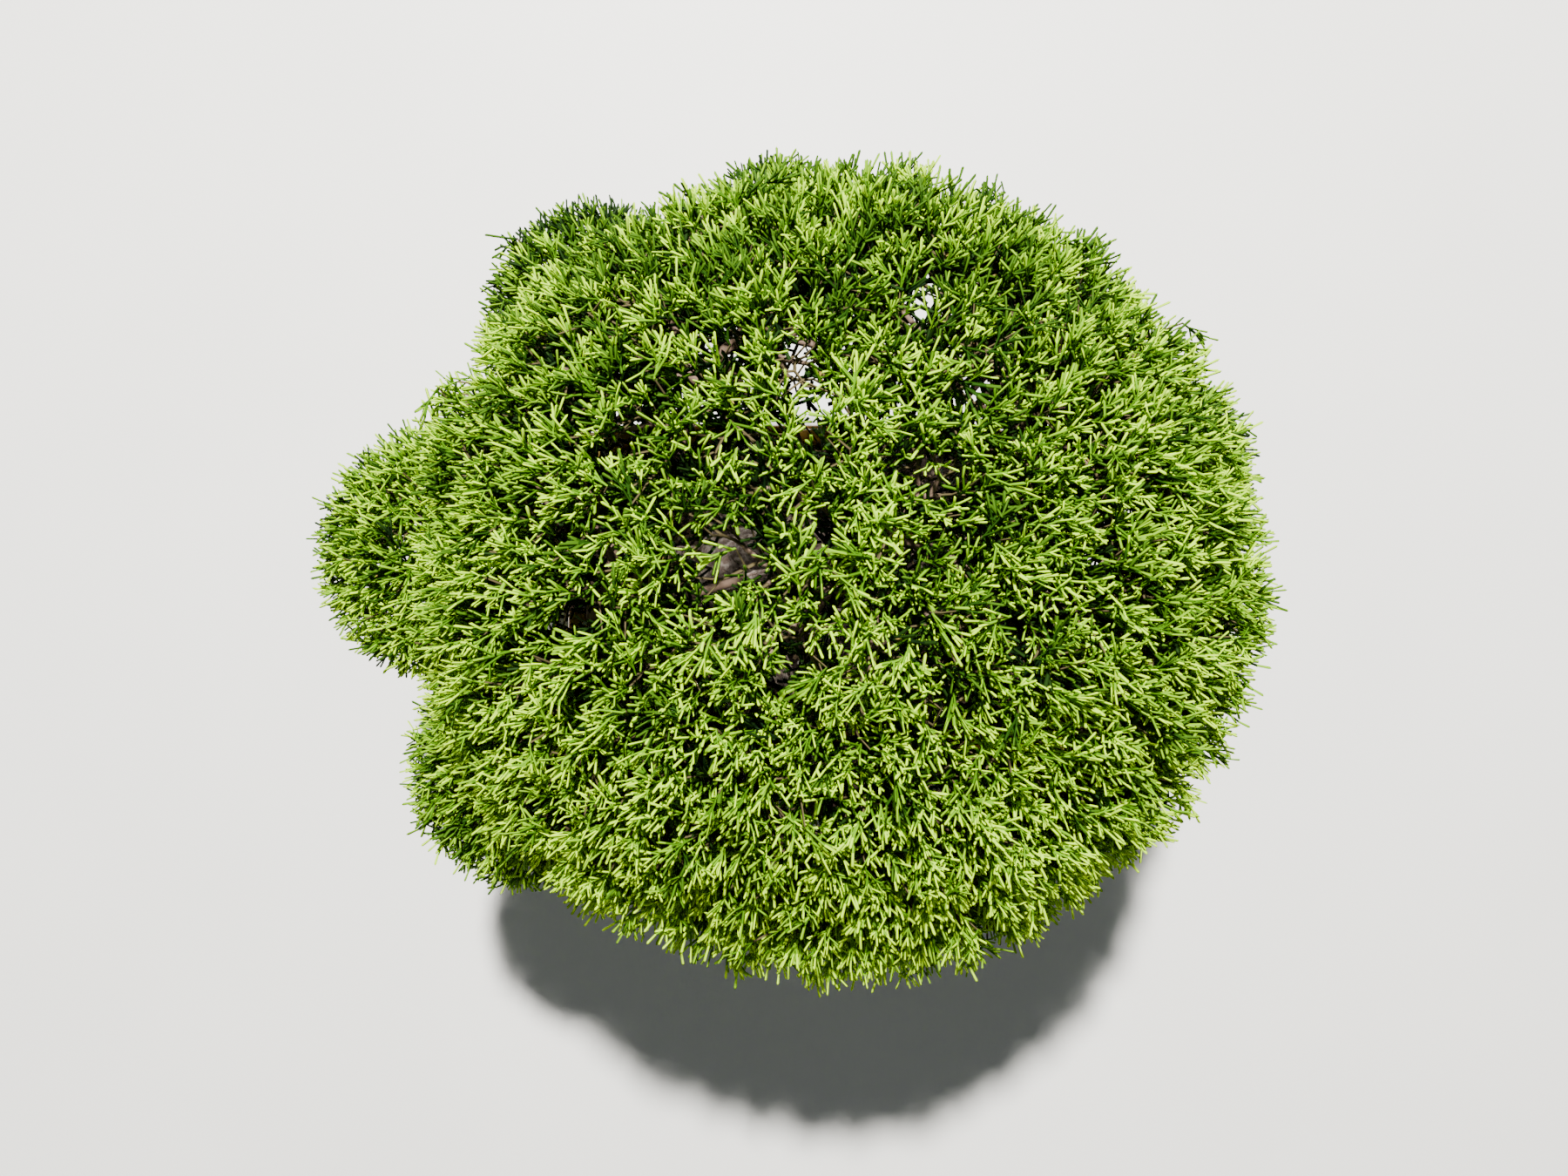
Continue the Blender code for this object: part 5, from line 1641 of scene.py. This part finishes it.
class BONSAI_OT_pot(Operator):
    """Make the glazed pot with its rim, foot and drain holes"""
    bl_idname = "bonsai.pot"
    bl_label = "Pot"

    def execute(self, context):
        pot = context.scene.bonsai_pot
        profile = rounded_profile(pot_profile())
        rings = [rounded_outline(point.x, point.y, pot.corner_steps) for point, _ in profile]
        piece = new_piece("glazed_pot", *loft(rings), (glaze_material(pot), clay_material(pot)))
        store(piece.data, "edge", "FLOAT", [edge for _, edge in profile for _ in rings[0]])
        for polygon in piece.data.polygons:
            bare = polygon.index == 0 or polygon.center.z < CLAY_TOP
            polygon.material_index = int(bare)
        for side in (-1, 1):
            self.drain(piece, side * DRAIN_SPREAD)
        piece.data.shade_smooth()
        piece.data.set_sharp_from_angle(angle=math.radians(SHARP_EDGE))
        hand_over(piece, "pot")
        return {"FINISHED"}

    def drain(self, piece, x):
        """Cuts a drain hole through the pot's floor."""
        outline = [(x + DRAIN_RADIUS * math.cos(angle), DRAIN_RADIUS * math.sin(angle))
                   for angle in angles_round(DRAIN_SIDES)]
        rings = [[(*point, height) for point in outline] for height in (-POT_FLOOR, POT_FLOOR * 2)]
        cutter = new_piece("drain", *loft(rings))
        cut = piece.modifiers.new("drain", "BOOLEAN")
        cut.operation = "DIFFERENCE"
        cut.object = cutter
        settle(piece)
        bpy.data.objects.remove(cutter, do_unlink=True)


class BONSAI_OT_soil(Operator):
    """Fill the pot with fine soil and scatter grit over it"""
    bl_idname = "bonsai.soil"
    bl_label = "Soil"

    def execute(self, context):
        soil = context.scene.bonsai_soil
        bed = self.make_bed(soil)
        grit = self.scatter(soil, bed)
        hand_over(bed, "soil")
        hand_over(grit, "soil")
        return {"FINISHED"}

    def make_bed(self, soil):
        """The soil's body, mounded under the trunk, with an uneven top."""
        edge = inner_inset(SOIL_EDGE_HEIGHT)
        rings = [rounded_outline(inner_inset(height) + SOIL_ROOM, height, SOIL_CORNER_STEPS)
                 for height in (POT_FLOOR + GAP, SOIL_EDGE_HEIGHT)]
        for level in range(1, SOIL_LEVELS):
            inset = edge + level / SOIL_LEVELS * (POT_WIDTH / 2 - edge - SOIL_MIDDLE)
            rings.append(rounded_outline(inset, SOIL_EDGE_HEIGHT, SOIL_CORNER_STEPS))
        vertices, faces = loft(rings)
        count = len(rings[0])
        for index, point in enumerate(vertices[count:]):
            inset = min(POT_LENGTH / 2 - abs(point.x), POT_WIDTH / 2 - abs(point.y))
            inset -= POT_RIM_WIDTH
            mound = 1 - math.exp(-max(inset, 0.0) / MOUND_FADE)
            mound = min((SOIL_TOP_HEIGHT - SOIL_EDGE_HEIGHT) * mound, MOUND_MOST)
            rough = noise.noise(point * SOIL_GRAIN) * SOIL_ROUGHNESS if index >= count else 0.0
            point.z = SOIL_EDGE_HEIGHT + mound + rough
        return new_piece("soil_bed", vertices, faces, (soil_material(soil),))

    def scatter(self, soil, bed):
        """Grains of grit, set on the soil's top at random."""
        materials = [plain_material(name, colour, *GRIT_SHINE) for name, colour in GRIT]
        shapes = grain_shapes()
        grit = link_object("grit", bed.data.copy())
        run_tree(grit, grit_tree(materials), {
            "Grains": shapes, "Grain": soil.grain, "Density": soil.density, "Seed": SEED,
        })
        discard(shapes)
        return grit


class BONSAI_OT_limbs(Operator):
    """Make the trunk and the boughs with their bark in relief"""
    bl_idname = "bonsai.limbs"
    bl_label = "Trunk and boughs"

    def execute(self, context):
        wood = context.scene.bonsai_wood
        bark = bark_material(wood)
        sides, rings = TRUNK_MESH
        heights = np.interp(np.linspace(0, TRUNK_RINGS, rings), np.arange(TRUNK_RINGS + 1),
                            [point.z for point in plan.trunk.points])
        shares = (heights - TRUNK_FOOT.z) / (TRUNK_TIP_HEIGHT - TRUNK_FOOT.z)
        trunk_seed, bough_seed = BARK_SEEDS
        trunk = bark_tube(plan.trunk, TRUNK_MESH, wood.relief, bark, trunk_seed,
                          lambda level, angle: trunk_ridge(shares[level], angle))
        for vertex in list(trunk.data.vertices)[:sides]:
            vertex.co.z = TRUNK_FOOT.z - TRUNK_SUNK
        hand_over(trunk, "trunk")
        for number, bough in enumerate(plan.boughs):
            size = THICK_MESH if bough.radii[0] > THICK_BOUGH else THIN_MESH
            piece = bark_tube(bough, size, wood.relief, bark, bough_seed * (number + 1),
                              collar=COLLAR)
            hand_over(piece, "bough_" + bough.name)
        return {"FINISHED"}


class BONSAI_OT_foliage(Operator):
    """Grow the twigs of every mass and set a spray of shoots on each end"""
    bl_idname = "bonsai.foliage"
    bl_label = "Twigs and sprays"

    def execute(self, context):
        foliage = context.scene.bonsai_foliage
        self.spread(foliage.spray)
        chance = random.Random(SEED + 1)
        shapes = bpy.data.collections.new("spray_shapes")
        for index in range(FINE_SHAPES + COARSE_SHAPES):
            fine = index < FINE_SHAPES
            shapes.objects.link(spray_template(f"spray_{index:02d}", foliage, fine, chance))
        sprays = spray_tree(self.shoot_materials(foliage))
        twigs = twig_tree()
        barks = [plain_material(name, *look) for name, look in TWIG_BARKS.items()]
        for mass in plan.masses:
            self.set_sprays(mass, sprays, shapes)
            self.set_twigs(mass, twigs, context.scene.bonsai_wood.twig, barks, chance)
        discard(shapes)
        return {"FINISHED"}

    def spread(self, length):
        spreader = Spreader(length)
        spreader.cover_dome()
        for mass in plan.masses:
            if mass.lobe is not None:
                spreader.cover_lobe(mass)
        spreader.cover_underside()

    def shoot_materials(self, foliage):
        """For every kind of spray, the looks of its older parts, darker partly as painted shade,
        its young shoots and a dry one.
        """
        dry = plain_material("shoot_dry", tuple(foliage.dry), *DRY_SHINE)
        sets = []
        for kind in SPRAY_KINDS:
            colour = tuple(getattr(foliage, kind))
            older_shaded = tuple(value * share for value, share in zip(colour, OLDER_SHADED_PARTS))
            sets.append((plain_material(f"shoot_{kind}", older_shaded, *OLDER_SHINE),
                         plain_material(f"shoot_{kind}_tip", colour, *YOUNG_SHINE), dry))
        return sets

    def set_sprays(self, mass, tree, shapes):
        sprays = mass.sprays
        piece = new_piece("sprays_" + mass.name, [spray.base for spray in sprays], [], smooth=False)
        turns = [tuple(spray.heading.to_track_quat("Z", "Y")) for spray in sprays]
        store(piece.data, "turn", "QUATERNION", turns)
        store(piece.data, "size", "FLOAT", [spray.size for spray in sprays])
        for name in ("kind", "fine"):
            store(piece.data, name, "INT", [getattr(spray, name) for spray in sprays])
        run_tree(piece, tree, {
            "Shapes": shapes, "Fine Shapes": FINE_SHAPES, "Coarse Shapes": COARSE_SHAPES,
            "Seed": SEED,
        })
        for name in ("kind", "fine", "size", "turn", "tip"):
            if name in piece.data.attributes:
                piece.data.attributes.remove(piece.data.attributes[name])
        hand_over(piece, "foliage_" + mass.name)

    def set_twigs(self, mass, tree, finest, barks, chance):
        """Makes the thick twigs of a mass and the thin ones, each as a piece of its own."""
        thick, thin = [], []
        for points, radii in stem_of(mass, finest, chance):
            (thick if radii[0] >= YOUNG_TWIG else thin).append((points, radii))
        kinds = (("branches_", thick, BRANCH_SIDES), ("twigs_", thin, TWIG_SIDES))
        for (name, lines, sides), bark in zip(kinds, barks):
            piece = line_piece(name + mass.name, lines)
            run_tree(piece, tree, {"Sides": sides, "Material": bark})
            hand_over(piece, "foliage_" + mass.name)


class BONSAI_PT_panel(Panel):
    """Lists the bonsai's operators and settings"""
    bl_idname = "BONSAI_PT_panel"
    bl_label = "Juniper Bonsai"
    bl_space_type = "VIEW_3D"
    bl_region_type = "UI"
    bl_category = "Bonsai"

    def draw(self, context):
        for operator in OPERATORS:
            self.layout.operator(operator.bl_idname)
        for name, group in SETTINGS.items():
            box = self.layout.box()
            for field in group.__annotations__:
                box.prop(getattr(context.scene, name), field)


OPERATORS = (
    BONSAI_OT_stage,
    BONSAI_OT_pot,
    BONSAI_OT_soil,
    BONSAI_OT_limbs,
    BONSAI_OT_foliage,
)
SETTINGS = {
    "bonsai_stage": StageSettings,
    "bonsai_pot": PotSettings,
    "bonsai_soil": SoilSettings,
    "bonsai_wood": WoodSettings,
    "bonsai_foliage": FoliageSettings,
}


def register():
    for name, group in SETTINGS.items():
        bpy.utils.register_class(group)
        setattr(bpy.types.Scene, name, PointerProperty(type=group))
    for operator in OPERATORS:
        bpy.utils.register_class(operator)
    bpy.utils.register_class(BONSAI_PT_panel)


def unregister():
    bpy.utils.unregister_class(BONSAI_PT_panel)
    for operator in reversed(OPERATORS):
        bpy.utils.unregister_class(operator)
    for name, group in SETTINGS.items():
        delattr(bpy.types.Scene, name)
        bpy.utils.unregister_class(group)


def main():
    register()
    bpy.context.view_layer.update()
    bpy.ops.bonsai.stage()
    bpy.ops.bonsai.pot()
    bpy.ops.bonsai.soil()
    bpy.ops.bonsai.limbs()
    bpy.ops.bonsai.foliage()


if __name__ == "__main__":
    main()
